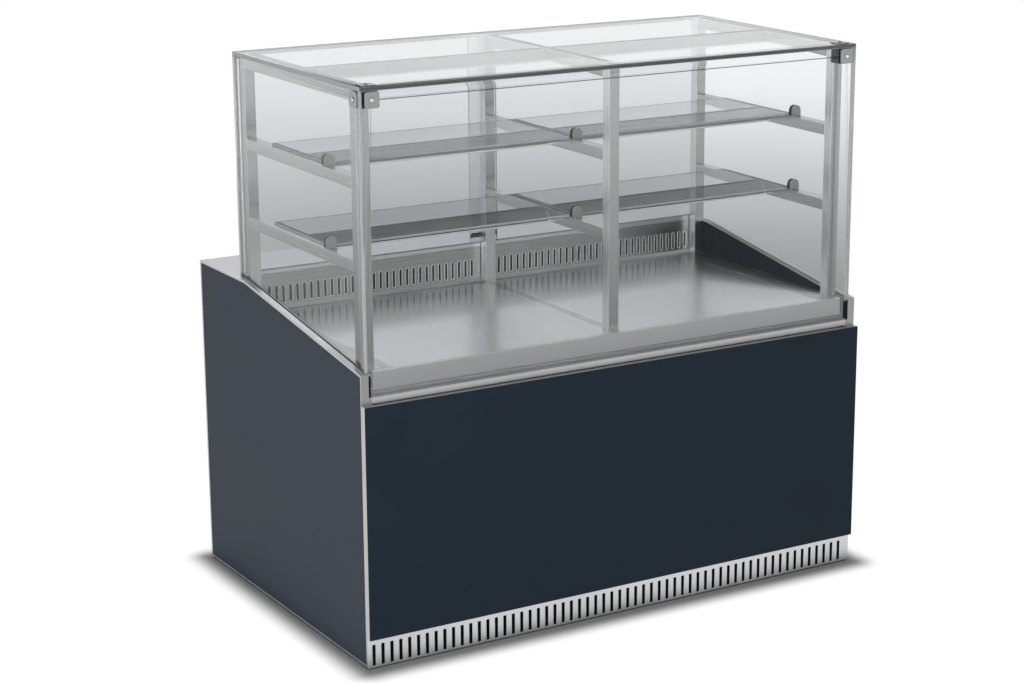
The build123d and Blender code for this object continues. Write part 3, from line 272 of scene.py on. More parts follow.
def let_lamps_through(m, tint):
    """Light from the lamps passes the glass straight to what is behind it."""
    path = m.add("ShaderNodeLightPath")
    clear = m.add("ShaderNodeBsdfTransparent")
    clear.inputs["Color"].default_value = (*tint, 1)
    mix = m.add("ShaderNodeMixShader")
    m.link(path.outputs["Is Shadow Ray"], mix.inputs["Fac"])
    m.link(m.shader.outputs["BSDF"], mix.inputs[1])
    m.link(clear.outputs["BSDF"], mix.inputs[2])
    m.link(mix.outputs["Shader"], m.output.inputs["Surface"])


def glass(name, color):
    """Toughened glass: clear, with the slight roller waviness of its faces."""
    m = Nodes(name, color, 0.0, 0.0, Transmission_Weight=1.0, IOR=GLASS_IOR)
    m.color(m.blend(m.span(m.noise(GLASS_TONE_SIZE), 0, 1), color, tone(color, 0.985)))
    m.bump(m.noise(ROLLER_MARKS, detail=0), ROLLER_DEPTH)
    let_lamps_through(m, tone(color, 0.97))
    return m.mat


def glass_edge(name, color, rough=0.25):
    """Ground edge of a pane: darker than its faces, with fine grinding marks."""
    m = Nodes(name, color, rough, 0.0, Transmission_Weight=EDGE_CLEARNESS, IOR=EDGE_IOR)
    marks = m.noise(GRIT, detail=2)
    m.color(m.blend(m.span(marks, 0, 1), tone(color, 0.85), tone(color, 1.12)))
    m.rough(m.span(marks, rough - 0.08, rough + 0.1))
    let_lamps_through(m, EDGE_SHADOW)
    return m.mat


# Finishes: name, colour, roughness, and what differs from the usual grain

STEEL = (0.56, 0.56, 0.555)
FINE = {"depth": 0.000002, "streak": 0.03}
METAL = {"metal": 1.0, "size": 0.0006}
M = {
    "side": satin("side_laminate", (0.036, 0.049, 0.065), 0.45, Specular_IOR_Level=0.05),
    # The inner faces and front edges of the side boards: a near-black copy of the side laminate, as painted
    # shade.
    "side_board_shade": satin("side_inner_painted_shade", (0.010, 0.012, 0.016), 0.55, Specular_IOR_Level=0.05),
    # The front laminate is a darker copy of the side laminate: painted shade.
    "front": satin("front_laminate_shaded", (0.0115, 0.0200, 0.0305), 0.40, Specular_IOR_Level=0.08),
    "trim": satin("satin_trim", (0.52, 0.52, 0.51), 0.36, **METAL),
    "end_plate": satin("end_plate", (0.32, 0.32, 0.315), 0.34, **METAL),
    "ledge": satin("panel_ledge", (0.42, 0.42, 0.42), 0.4, **METAL),
    "kick": satin("kick_metal", (0.66, 0.665, 0.675), 0.38, **METAL),
    "steel_x": brushed("brushed_steel_x", STEEL, 0.3, "x"),
    "steel_y": brushed("brushed_steel_y", STEEL, 0.25, "y", **FINE),
    "steel_z": brushed("brushed_steel_z", tone(STEEL, 0.9), 0.22, "z", **FINE),
    # A lighter copy of the post steel for the posts' left faces: painted light.
    "post_lit_side": brushed("post_lit_side", (0.82, 0.82, 0.815), 0.26, "z", **FINE),
    "tray": brushed("tray_steel", (0.76, 0.76, 0.755), 0.22, "x", depth=0.000002, streak=0.02),
    "wall": brushed("wall_steel", (0.34, 0.345, 0.34), 0.30, "x", depth=0.000004),
    "deck": brushed("deck_steel", (0.50, 0.50, 0.51), 0.38, "x"),
    "aluminium": brushed("anodised", (0.50, 0.51, 0.52), 0.34, "x"),
    "rail": brushed("front_rail_profile", (0.50, 0.505, 0.51), 0.40, "x", depth=0.000004),
    "sill": brushed("sill_steel", (0.70, 0.70, 0.695), 0.3, "x", **FINE),
    "beam": brushed("beam_profile", (0.40, 0.41, 0.42), 0.24, "x"),
    # The beams' sloping faces: near-white at the top level, lighter at the upper level and near-black at the
    # lower level, as painted light and shade.
    "beam_slope_lit_top": brushed("beam_slope_top_painted_light", (0.90, 0.91, 0.92), 0.3, "x"),
    "beam_slope_lit_upper": brushed("beam_slope_upper_painted_light", (0.66, 0.67, 0.68), 0.26, "x"),
    "beam_slope_shaded_lower": brushed("beam_slope_lower_painted_shade", (0.12, 0.125, 0.13), 0.28, "x"),
    # A pale copy of the steel for edges, folds and rims that catch the light: painted highlight.
    "painted_highlight": satin("painted_highlight_edge", (0.80, 0.80, 0.79), 0.3, **METAL),
    # A near-white copy of the rail steel for the rails' top faces: painted light.
    "rail_top_painted_light": satin("rail_top_painted_light", (0.94, 0.94, 0.935), 0.3, **METAL),
    "plate": satin("corner_plate", (0.34, 0.34, 0.345), 0.20, metal=1.0, size=0.001, depth=0.00001),
    "spacer": satin("spacer_block", (0.10, 0.10, 0.102), 0.35, metal=1.0, size=0.001, depth=0.00001),
    # Dust filter cloth, near-black so that the grille's slots read shaded: partly painted shade.
    "filter_and_shade": satin(
        "filter_cloth_and_shade", (0.004, 0.004, 0.004), 0.9, size=0.0006, depth=0.00005, Specular_IOR_Level=0.1
    ),
    # Near-black for the sheet behind the air wall's slots: painted shade.
    "slot_shade": satin(
        "slot_shade_sheet", (0.06, 0.06, 0.06), 0.8, size=0.0008, depth=0.00005, Specular_IOR_Level=0.2
    ),
    "gasket": satin("grey_gasket", (0.20, 0.20, 0.205), 0.6, size=0.0008, depth=0.00004),
    "segment": satin("red_segment", (0.75, 0.16, 0.10), 0.4, size=0.0005),
    "chrome": satin("chrome", (0.62, 0.63, 0.64), 0.12, metal=1.0, size=0.002, depth=0.000005),
    "zinc": zinc(),
    "foam": foam_board(),
    "copper": copper(),
    "fins": fins(),
    "black": satin("black_moulding", (0.020, 0.020, 0.022), 0.5, size=0.0005, depth=0.00004),
    "rubber": satin("black_rubber", (0.016, 0.016, 0.017), 0.7, size=0.0008, depth=0.00004),
    "enamel": satin(
        "black_enamel", (0.012, 0.012, 0.013), 0.22, size=0.004, depth=0.00003, Coat_Weight=0.4
    ),
    "opal": satin("opal_strip", (0.86, 0.87, 0.86), 0.3, size=0.003),
    "button": satin("button_plastic", (0.36, 0.37, 0.39), 0.45, size=0.0005),
    "rocker": satin("rocker_plastic", (0.02, 0.22, 0.07), 0.2, size=0.003, depth=0.00001),
    "lens": satin("smoked_lens", (0.012, 0.010, 0.010), 0.06, size=0.02, depth=0.00001, Coat_Weight=0.6),
    "foot": satin("foot_nylon", (0.018, 0.018, 0.018), 0.45, size=0.0007, depth=0.00003),
    "mark": satin("white_mark", (0.75, 0.75, 0.75), 0.5, size=0.0005),
    "clear": glass("clear_glass", (0.95, 0.957, 0.965)),
    "tinted": glass("tinted_glass", (0.80, 0.805, 0.825)),
    "clear_edge": glass_edge("clear_edge", (0.50, 0.52, 0.525), 0.15),
    # A near-black copy of the edge glass for edges that look dark: painted shade.
    "painted_shade_edge": glass_edge("painted_shade_edge", (0.085, 0.092, 0.095), 0.2),
    "shelf_edge": glass_edge("shelf_edge", (0.45, 0.48, 0.48)),
}


# Dressing of the CAD nodes

FINISH = {
    "levelling_feet": "foot", "base_frame": "zinc", "base_pan": "zinc", "well_stand": "zinc",
    "left_side_panel": "side", "right_side_panel": "side", "left_side_trim": "trim", "right_side_trim": "trim",
    "front_panel": "front", "kick_grille": "kick", "rear_deck": "deck", "rear_upper_panel": "steel_x",
    "rear_louvre_panel": "steel_x", "control_panel": "black", "display_lens": "lens",
    "button_up": "button", "button_down": "button", "button_set": "button", "power_switch": "rocker",
    "power_inlet": "black", "well_liner": "steel_x", "well_insulation": "foam",
    "left_floor_tray": "tray", "right_floor_tray": "tray", "tray_supports": "steel_y",
    "rear_air_wall": "wall", "front_sill": "sill", "front_rail": "rail", "glazing_gaskets": "gasket",
    "front_posts": "steel_z", "rear_posts": "steel_z", "top_rails": "steel_y",
    "upper_shelf_rails": "steel_y", "lower_shelf_rails": "steel_y",
    "light_beams": "beam", "light_diffusers": "opal", "shelf_stops": "aluminium",
    "corner_brackets": "plate", "screws": "chrome", "left_door_pull": "black", "right_door_pull": "black",
    "door_frame": "aluminium", "compressor": "enamel", "condenser_coil": "fins", "condenser_shroud": "zinc",
    "condenser_fan_motor": "enamel", "condenser_fan": "black", "evaporator_coil": "fins",
    "evaporator_fan": "black", "refrigerant_lines": "copper",
}
EDGE_MM = {
    "left_side_trim": 0.5, "right_side_trim": 0.5, "front_panel": 0.8, "kick_grille": 0.5, "rear_deck": 0.8,
    "rear_upper_panel": 0.6, "rear_louvre_panel": 0.4, "control_panel": 0.4, "left_floor_tray": 0.7,
    "right_floor_tray": 0.7, "tray_supports": 0.7, "front_sill": 0.7, "front_rail": 0.4, "front_posts": 0.9,
    "rear_posts": 0.9, "top_rails": 0.9, "upper_shelf_rails": 0.9, "lower_shelf_rails": 0.9,
    "light_beams": 0.5, "corner_brackets": 0.5, "left_door_pull": 0.6, "right_door_pull": 0.6,
    "door_frame": 0.3, "base_pan": 0.5, "button_up": 0.5, "button_down": 0.5, "button_set": 0.5,
    "power_switch": 0.4, "power_inlet": 0.4, "display_lens": 0.3, "condenser_shroud": 0.5,
    "left_side_panel": 0.4, "right_side_panel": 0.4,
}
WELD_M = 0.00002
SHARP_DEGREES = 35


def soften(obj, width_mm, segments=2, edge_slot=-1):
    """Rounds the sharp edges by a small radius, so that they catch the light as real ones do."""
    weld = obj.modifiers.new("weld", "WELD")
    weld.merge_threshold = WELD_M
    bevel = obj.modifiers.new("bevel", "BEVEL")
    bevel.width = width_mm * MM
    bevel.segments = segments
    bevel.limit_method = "ANGLE"
    bevel.angle_limit = math.radians(SHARP_DEGREES)
    bevel.material = edge_slot
    for face in obj.data.polygons:
        face.use_smooth = True
    obj.modifiers.new("normals", "WEIGHTED_NORMAL")


def dress(name, key):
    obj = nodes[name]
    obj.data.materials.clear()
    obj.data.materials.append(M[key])
    if name in EDGE_MM:
        soften(obj, EDGE_MM[name])


for node_name, finish_key in FINISH.items():
    dress(node_name, finish_key)

PANES = {
    "front_glass": ("clear", "clear_edge", 1), "top_glass": ("clear", "clear_edge", 2),
    "left_side_glass": ("clear", "clear_edge", 0), "right_side_glass": ("clear", "clear_edge", 0),
    "left_upper_shelf": ("clear", "shelf_edge", 2), "right_upper_shelf": ("clear", "shelf_edge", 2),
    "left_lower_shelf": ("clear", "shelf_edge", 2), "right_lower_shelf": ("clear", "shelf_edge", 2),
    "left_rear_door": ("tinted", "clear_edge", 1), "right_rear_door": ("tinted", "clear_edge", 1),
}
PANE_ARRIS_MM = 0.6
PANE_FACING = 0.5


def dress_pane(name, face_key, edge_key, across):
    """A pane's two faces are clear, and its narrow edges are ground. Across is the axis of its thickness."""
    obj = nodes[name]
    obj.data.materials.clear()
    obj.data.materials.append(M[face_key])
    obj.data.materials.append(M[edge_key])
    for face in obj.data.polygons:
        face.material_index = 0 if abs(face.normal[across]) > PANE_FACING else 1
    soften(obj, PANE_ARRIS_MM, segments=1, edge_slot=1)


for pane_name, pane_values in PANES.items():
    dress_pane(pane_name, *pane_values)


# Finishes that change within one node

def paint(name, key, rule):
    """Gives a finish to the faces for which the rule holds. The rule takes a centre in mm and a normal."""
    obj = nodes[name]
    obj.data.materials.append(M[key])
    index = len(obj.data.materials) - 1
    for face in obj.data.polygons:
        if rule([c / MM for c in face.center], face.normal):
            face.material_index = index


def box_mm(name):
    return [[c / MM for c in corner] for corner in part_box(name)]


PANEL_TOP = box_mm("front_panel")[1][2]
LOWER_LEVEL = box_mm("lower_shelf_rails")[1][2]
UPPER_LEVEL = box_mm("upper_shelf_rails")[1][2]
GLASS_LOW, GLASS_HIGH = box_mm("front_glass")
TOP_LOW, TOP_HIGH = box_mm("top_glass")
INNER_FACE = box_mm("right_side_panel")[0][0]
PLAY = 1
ABOVE_LEVEL = 5
PLATE_SIDE_GAP = 7
MIDDLE_POSTS_FROM = -20
GASKET_PLAY = 0.00004
# The least part of a face's normal that lies along an axis, for it to count as facing that way
FACING = 0.9
STEEP = 0.5
SLOPING = 0.3


def faces_front(n):
    return n.y < -FACING


def slopes(n):
    return n.y < -SLOPING and n.z > SLOPING


def behind_glass(c, n):
    """The block of a corner bracket, apart from its thin plates."""
    beside = abs(c[0]) < GLASS_HIGH[0] - PLATE_SIDE_GAP
    return beside and c[1] > GLASS_HIGH[1] - PLAY and c[2] < TOP_LOW[2] + PLAY


def highlighted_beam_face(c, n):
    """The narrow fronts of all beams, and the tops of the two upper levels, which take a painted highlight."""
    return faces_front(n) or n.z > FACING and c[2] > LOWER_LEVEL + ABOVE_LEVEL


def painted_lit_left_face(c, n):
    """The left faces of the middle and right posts, which take a lighter copy of the post steel: painted
    light.
    """
    return n.x < -FACING and c[0] > MIDDLE_POSTS_FROM


for side in ("left", "right"):
    paint(f"{side}_side_trim", "end_plate", lambda c, n: faces_front(n) and c[2] > PANEL_TOP)
    # The boards' inner faces and front edges take a painted shade.
    paint(f"{side}_side_panel", "side_board_shade", lambda c, n: abs(c[0]) < INNER_FACE + PLAY or faces_front(n))
    # The lower shelves' rear edges take a painted shade.
    paint(f"{side}_lower_shelf", "painted_shade_edge", lambda c, n: n.y > FACING)
paint("front_panel", "ledge", lambda c, n: n.z > FACING and c[2] > PANEL_TOP - PLAY)
# The upward sloping fold of the air wall takes a painted highlight.
paint("rear_air_wall", "painted_highlight", lambda c, n: n.y < -STEEP and n.z > STEEP)
# The sloping beam faces take lit and shaded copies by level: painted light and shade.
beam_painted_light_levels = (
    ("beam_slope_shaded_lower", -math.inf, LOWER_LEVEL + ABOVE_LEVEL),
    ("beam_slope_lit_upper", LOWER_LEVEL + ABOVE_LEVEL, UPPER_LEVEL + ABOVE_LEVEL),
    ("beam_slope_lit_top", UPPER_LEVEL + ABOVE_LEVEL, math.inf),
)
for key, low, high in beam_painted_light_levels:
    paint("light_beams", key, lambda c, n: slopes(n) and low < c[2] < high)
# The beams' fronts and upper tops take a painted highlight.
paint("light_beams", "painted_highlight", highlighted_beam_face)
paint("corner_brackets", "spacer", behind_glass)
# The top glass's front and rear edges take a painted shade.
paint("top_glass", "painted_shade_edge", lambda c, n: abs(n.y) > FACING)
# The top rails' upper faces take a painted light.
paint("top_rails", "rail_top_painted_light", lambda c, n: n.z > FACING)
# The posts' left faces take a painted light.
paint("front_posts", "post_lit_side", painted_lit_left_face)
paint("rear_posts", "post_lit_side", painted_lit_left_face)

# The gaskets keep off the glass, so that no two faces lie in one plane.
play = nodes["glazing_gaskets"].modifiers.new("play", "DISPLACE")
play.mid_level = 0
play.strength = -GASKET_PLAY


# Mesh building

LATHE_CORNERS = 24
SIXTH = math.pi / 3


class Shape:
    """A mesh in the making, with its points in millimetres."""

    def __init__(self):
        self.mesh = bmesh.new()

    def skin(self, rings, closed=False, finish=0):
        """Joins rings of points by a skin. Its ends are capped unless the rings close on themselves."""
        rows = [[self.mesh.verts.new([c * MM for c in point]) for point in ring] for ring in rings]
        pairs = list(zip(rows, rows[1:]))
        if closed:
            pairs.append((rows[-1], rows[0]))
        faces = []
        for a, b in pairs:
            for n in range(len(a)):
                m = (n + 1) % len(a)
                faces.append(self.mesh.faces.new((a[n], a[m], b[m], b[n])))
        if not closed:
            faces.append(self.mesh.faces.new(rows[0][::-1]))
            faces.append(self.mesh.faces.new(rows[-1]))
        for face in faces:
            face.material_index = finish

    def prism(self, outline, axis, low, high):
        """An outline, run along an axis between two limits."""
        rings = []
        for level in (low, high):
            ring = [list(point) for point in outline]
            for point in ring:
                point.insert(axis, level)
            rings.append(ring)
        self.skin(rings)

    def lathe(self, profile, place, axis, outward, finish=0):
        """A turned form. The profile has a radius, a height and whether the ring is a hexagon."""
        rings = []
        for radius, height, hexagon in profile:
            ring = []
            for n in range(LATHE_CORNERS):
                turn = 2 * math.pi * n / LATHE_CORNERS
                reach = radius
                if hexagon:
                    reach = radius * math.cos(SIXTH / 2) / math.cos(turn % SIXTH - SIXTH / 2)
                point = [reach * math.cos(turn), reach * math.sin(turn)]
                point.insert(axis, outward * height)
                ring.append([a + b for a, b in zip(place, point)])
            rings.append(ring)
        self.skin(rings, finish=finish)

    def make(self, name, keys, body, slot, edge_mm=0.0, smooth_degrees=40):
        bmesh.ops.recalc_face_normals(self.mesh, faces=self.mesh.faces)
        data = bpy.data.meshes.new(name)
        self.mesh.to_mesh(data)
        self.mesh.free()
        for key in keys:
            data.materials.append(M[key])
        obj = bpy.data.objects.new(name, data)
        scene.collection.objects.link(obj)
        if edge_mm:
            soften(obj, edge_mm)
        else:
            data.shade_smooth()
            data.set_sharp_from_angle(angle=math.radians(smooth_degrees))
        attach(obj, body)
        return obj


def rectangle(a, b):
    """Corners of a rectangle with two limits along each of its axes."""
    return [(a[0], b[0]), (a[1], b[0]), (a[1], b[1]), (a[0], b[1])]


def arc(middle, radius, start, end, count):
    """Points on an arc, from start to end in degrees."""
    points = []
    for n in range(count + 1):
        turn = math.radians(start + (end - start) * n / count)
        points.append((middle[0] + radius * math.cos(turn), middle[1] + radius * math.sin(turn)))
    return points


# Dust filter behind the kick grille, near-black as painted shade inside the base

KICK_LOW, KICK_HIGH = box_mm("kick_grille")
KICK_SHEET = 1.5
PLEAT = 5
FILTER_GAP = 0.7
FILTER_DEPTH = 4.5
FILTER_BACK = 0.6
FILTER_Z = (KICK_LOW[2] + 1, KICK_HIGH[2] - 3)
FIRST_SLOT = -616
SLOT_BLIND = 7.2
SLOT_BLIND_DEPTH = (0.6, 1.0, 1.4)
SLOT_BLIND_Z = (7.7, 53.8)


def pleats(start, end, near, far, back):
    """Outline of a pleated sheet seen from above, with a flat back."""
    count = round((end - start) / PLEAT) * 2
    front = [(start + (end - start) * n / count, near if n % 2 else far) for n in range(count + 1)]
    return front + [(end, back), (start, back)]


def make_kick_filter():
    """A pleated sheet behind the grille, and a blind in the slot that lies before the side trim, both
    near-black: painted shade.
    """
    shape = Shape()
    near = KICK_LOW[1] + KICK_SHEET + FILTER_GAP
    far = near + FILTER_DEPTH
    end = INNER_FACE - PLAY
    shape.prism(pleats(-end, end, near, far, far + FILTER_BACK), 2, *FILTER_Z)
    slot = (FIRST_SLOT - SLOT_BLIND / 2, FIRST_SLOT + SLOT_BLIND / 2)
    depth = [KICK_LOW[1] + d for d in SLOT_BLIND_DEPTH]
    shape.prism(pleats(*slot, *depth), 2, *SLOT_BLIND_Z)
    shape.make("kick_filter", ["filter_and_shade"], "case", "black_plastic")


# Rolled rims of the air wall's slots in a painted highlight, and a near-black pleated sheet behind them as
# painted shade

TUBE = 25
TRAY_HIGH = box_mm("left_floor_tray")[1]
WALL_Y = TRAY_HIGH[1]
WALL_SHEET = 1.5
WALL_SLOTS = 32
WALL_SLOT_FIRST = 36.5
WALL_SLOT_LAST = 25.4
WALL_SLOT_HEIGHT = 40
WALL_SLOT_RISE = 12
RIM_R = 0.8
RIM_PROUD = 0.3
RIM_HALF_WIDTH = 3.6
RIM_SIDES = 8
RIM_BEND = 6
RIM_OVERHANG = 1
WALL_SLOT_Z = TRAY_HIGH[2] + WALL_SLOT_RISE + WALL_SLOT_HEIGHT / 2
# The near-black sheet behind the air wall's slots, which is painted shade:
SHADE_SHEET_GAP = 2
SHADE_SHEET_DEPTH = 3
SHADE_SHEET_BACK = 0.6
SHADE_SHEET_END = 560
SHADE_SHEET_Z = (TRAY_HIGH[2] + 4, TRAY_HIGH[2] + 62)
END_BLIND_X = (564.2, 569)
END_BLIND_Y = (WALL_Y + 0.4, WALL_Y + 1.2)
END_BLIND_HALF = WALL_SLOT_HEIGHT / 2 - 3


def slot_rim(shape, x, z, y):
    """A closed tube along the edge of one slot."""
    straight = WALL_SLOT_HEIGHT / 2 - RIM_HALF_WIDTH + RIM_OVERHANG
    path = arc((x, z + straight), RIM_HALF_WIDTH, 0, 180, RIM_BEND)
    path += arc((x, z - straight), RIM_HALF_WIDTH, 180, 360, RIM_BEND)
    rings = []
    for n, point in enumerate(path):
        before, after = Vector(path[n - 1]), Vector(path[(n + 1) % len(path)])
        along = (after - before).normalized()
        side = Vector((along.y, -along.x))
        ring = []
        for k in range(RIM_SIDES):
            turn = 2 * math.pi * k / RIM_SIDES
            out = RIM_R * math.cos(turn)
            ring.append((point[0] + side.x * out, y + RIM_R * math.sin(turn), point[1] + side.y * out))
        rings.append(ring)
    shape.skin(rings, closed=True)


def make_slot_rims():
    shape = Shape()
    post_x = (box_mm("front_posts")[1][0] + box_mm("upper_shelf_rails")[1][0] - TUBE) / 2
    pitch = (post_x - WALL_SLOT_FIRST - WALL_SLOT_LAST) / (WALL_SLOTS - 1)
    for side in (-1, 1):
        for n in range(WALL_SLOTS):
            slot_rim(shape, side * (WALL_SLOT_FIRST + n * pitch), WALL_SLOT_Z, WALL_Y - RIM_PROUD)
    # The rims take a painted highlight.
    shape.make("wall_slot_rims", ["painted_highlight"], "case", "steel", smooth_degrees=80)


def make_slot_shade_sheet():
    """A near-black pleated sheet in the air way behind the slots, and a blind in the last slot of each side:
    painted shade, so that the slots read dark.
    """
    shape = Shape()
    near = WALL_Y + WALL_SHEET + SHADE_SHEET_GAP
    far = near + SHADE_SHEET_DEPTH
    shape.prism(pleats(-SHADE_SHEET_END, SHADE_SHEET_END, near, far, far + SHADE_SHEET_BACK), 2, *SHADE_SHEET_Z)
    for side in (-1, 1):
        blind = rectangle(sorted(side * x for x in END_BLIND_X), END_BLIND_Y)
        shape.prism(blind, 2, WALL_SLOT_Z - END_BLIND_HALF, WALL_SLOT_Z + END_BLIND_HALF)
    shape.make("wall_slot_shade_sheet", ["slot_shade"], "case", "black_plastic")


# Screws

SCREW_INSET = 26.5
PLATE_THICK = 2
# Each ring is a radius, a height, and whether it is a hexagon.
HEAD_PROFILE = (
    (5, 0.5, False), (5, 0.9, False), (4.7, 1.4, False), (4.0, 1.95, False), (3.0, 2.3, False),
    (2.3, 2.4, False), (1.9, 2.35, True), (1.9, 1.0, True),
)
WASHER_PROFILE = ((5.7, 0, False), (5.7, 0.5, False))
SHANK_PROFILE = ((3, -18, False), (3, 0, False))
PANEL_SCREW_X = 594
PANEL_SCREW_HEIGHTS = (40, 346, 372, 680)


def screw(shape, place, axis, outward, shank=True):
    shape.lathe(HEAD_PROFILE, place, axis, outward)
    shape.lathe(WASHER_PROFILE, place, axis, outward, finish=1)
    if shank:
        shape.lathe(SHANK_PROFILE, place, axis, outward)


def make_screws():
    shape = Shape()
    y = GLASS_LOW[1] + SCREW_INSET
    z = TOP_HIGH[2] - SCREW_INSET
    panel_y = box_mm("rear_louvre_panel")[1][1]
    for side in (-1, 1):
        x = side * (GLASS_HIGH[0] - SCREW_INSET)
        screw(shape, (x, GLASS_LOW[1] - PLATE_THICK, z), 1, -1)
        screw(shape, (side * (GLASS_HIGH[0] + PLATE_THICK), y, z), 0, side)
        screw(shape, (x, y, TOP_HIGH[2] + PLATE_THICK), 2, 1)
        for height in PANEL_SCREW_HEIGHTS:
            screw(shape, (side * PANEL_SCREW_X, panel_y, height), 1, 1, shank=False)
    piece = shape.make("button_head_screws", ["chrome", "rubber"], "case", "chrome", smooth_degrees=30)
    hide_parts("screws")


# Shelf stops: a steel arch in front of a rubber pad

STOP_LOW, STOP_HIGH = box_mm("shelf_stops")
STOP_CAP = 3
STOP_FOOT = 2
STOP_FOOT_SHORT = 1
PAD_INSET = 0.5
PAD_PLAY = 0.1
STOP_BEND = 14


def arch(x, foot, half, height, base=0.0):
    """Front outline of a stop: straight sides with a round top."""
    return [(x - half, foot + base), (x + half, foot + base)] + arc(
        (x, foot + height - half), half, 0, 180, STOP_BEND
    )


def make_stops():
    caps, pads = Shape(), Shape()
    half = TUBE / 2
    edge = STOP_HIGH[0] - half
    front, back = STOP_LOW[1], STOP_HIGH[1]
    joint = front + STOP_CAP
    for foot in (LOWER_LEVEL, UPPER_LEVEL):
        for x in (-edge, 0, edge):
            caps.prism(arch(x, foot, half, TUBE), 1, front, joint)
            sole = rectangle((x - half, x + half), (foot, foot + STOP_FOOT))
            caps.prism(sole, 1, joint, back - STOP_FOOT_SHORT)
            pad = arch(x, foot, half - PAD_INSET, TUBE - PAD_INSET, STOP_FOOT + PAD_PLAY)
            pads.prism(pad, 1, joint + PAD_PLAY, back)
    piece = caps.make("stop_caps", ["end_plate"], "case", "aluminium", edge_mm=0.5)
    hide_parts("shelf_stops")
    pads.make("stop_pads", ["rubber"], "case", "black_rubber", edge_mm=0.4)


# Plugs in the open tops of the posts

PLUG_INSET = 1.7
PLUG_DROP = 0.6
PLUG_THICK = 2


def make_post_plugs():
    shape = Shape()
    half = TUBE / 2
    reach = half - PLUG_INSET
    for name in ("front_posts", "rear_posts"):
        low, high = box_mm(name)
        y = (low[1] + PLUG_INSET, high[1] - PLUG_INSET)
        for x in (low[0] + half, 0, high[0] - half):
            outline = rectangle((x - reach, x + reach), y)
            shape.prism(outline, 2, high[2] - PLUG_DROP - PLUG_THICK, high[2] - PLUG_DROP)
    shape.make("post_plugs", ["steel_y"], "case", "steel")


# Seams where the beams meet the rails, in a pale finish that paints a highlight along each joint

# The outline of a beam with its depth and height, a little proud at the top and sides. Its foot is set in.
SEAM_SECTION = ((-0.4, 0.4), (40.4, 0.4), (40.4, 25), (23.4, 25), (-0.4, 3.4))
BEAM_HEIGHT = 25
SEAM_INSET = 0.2
SEAM_WIDTH = 1.6


def make_beam_seams():
    shape = Shape()
    low, high = box_mm("light_beams")
    for top in (LOWER_LEVEL, UPPER_LEVEL, high[2]):
        outline = [(low[1] + y, top - BEAM_HEIGHT + z) for y, z in SEAM_SECTION]
        for side in (-1, 1):
            for x in (TUBE / 2 + SEAM_INSET, high[0] - SEAM_WIDTH - SEAM_INSET):
                ends = sorted((side * x, side * (x + SEAM_WIDTH)))
                shape.prism(outline, 0, *ends)
    shape.make("beam_seams", ["painted_highlight"], "case", "aluminium", edge_mm=0.2)


# Pressed hoods over the louvres of the rear panel

LOUVRE_COLUMNS = (-190, 0, 190)
LOUVRE_ROWS = 10
LOUVRE_PITCH = 24
LOUVRE_FIRST = 117.5
LOUVRE_HALF = 79
HOOD_REACH = 7.5
HOOD_TOP = 7.5
HOOD_FOOT = -4.5
HOOD_STEPS = 26
HOOD_ROUND = 12
HOOD_BEND = 6
HOOD_SHEET = 0.9
HOOD_GAP = 0.1


def louvre_hood(shape, x, z, y):
    """A half-open scoop: its lower edge stands off the panel, and its ends curve back to it."""
    grid = []
    for n in range(HOOD_STEPS + 1):
        place = -LOUVRE_HALF * math.cos(math.pi * n / HOOD_STEPS)
        left = (LOUVRE_HALF - abs(place)) / HOOD_ROUND
        rise = 1.0 if left >= 1 else math.sqrt(max(0.0, 1 - (1 - left) ** 2))
        row = []
        for step in range(HOOD_BEND + 1):
            turn = math.radians(90 * step / HOOD_BEND)
            height = HOOD_FOOT + (HOOD_TOP - HOOD_FOOT) * math.cos(turn)
            row.append((x + place, y + HOOD_REACH * rise * math.sin(turn), z + height))
        grid.append([shape.mesh.verts.new([c * MM for c in point]) for point in row])
    for a, b in zip(grid, grid[1:]):
        for n in range(HOOD_BEND):
            shape.mesh.faces.new((a[n], a[n + 1], b[n + 1], b[n]))


def make_louvre_hoods():
    shape = Shape()
    y = box_mm("rear_louvre_panel")[1][1] + HOOD_GAP
    for x in LOUVRE_COLUMNS:
        for row in range(LOUVRE_ROWS):
            louvre_hood(shape, x, LOUVRE_FIRST + row * LOUVRE_PITCH, y)
    piece = shape.make("louvre_hoods", ["steel_x"], "case", "steel", smooth_degrees=80)
    sheet = piece.modifiers.new("sheet", "SOLIDIFY")
    sheet.thickness = HOOD_SHEET * MM
    sheet.offset = 1


# Marks on the control panel

MARK_THICK = 0.25
MARK_SUNK = 0.05
SEGMENT = 9.0
SEGMENT_WIDTH = 1.6
SEGMENT_GAP = 0.5
DIGIT_PLACE = 8
# The segments of a digit seen from behind the case: place across, place up, and whether it is upright
SEGMENTS = {
    "a": (0, 1, False), "g": (0, 0, False), "d": (0, -1, False),
    "b": (-0.5, 0.5, True), "c": (-0.5, -0.5, True), "f": (0.5, 0.5, True), "e": (0.5, -0.5, True),
}
BUTTON_MARKS = {
    "button_up": ("up_button", ((-2.6, -1.8), (2.6, -1.8), (0, 2.4))),
    "button_down": ("down_button", ((-2.6, 1.8), (2.6, 1.8), (0, -2.4))),
    "button_set": ("set_button", ((-2.6, -0.7), (2.6, -0.7), (2.6, 0.7), (-2.6, 0.7))),
}


def segment_outline(x, z, upright):
    """A bar of a digit, pointed at both ends."""
    half = SEGMENT / 2 - SEGMENT_GAP
    w = SEGMENT_WIDTH / 2
    flat = [(-half, 0), (-half + w, w), (half - w, w), (half, 0), (half - w, -w), (-half + w, -w)]
    if upright:
        flat = [(b, a) for a, b in flat]
    return [(x + a, z + b) for a, b in flat]


def middle_of(name):
    """The middle of a node seen from behind, and the place of its rear face."""
    low, high = box_mm(name)
    return (low[0] + high[0]) / 2, (low[2] + high[2]) / 2, high[1]


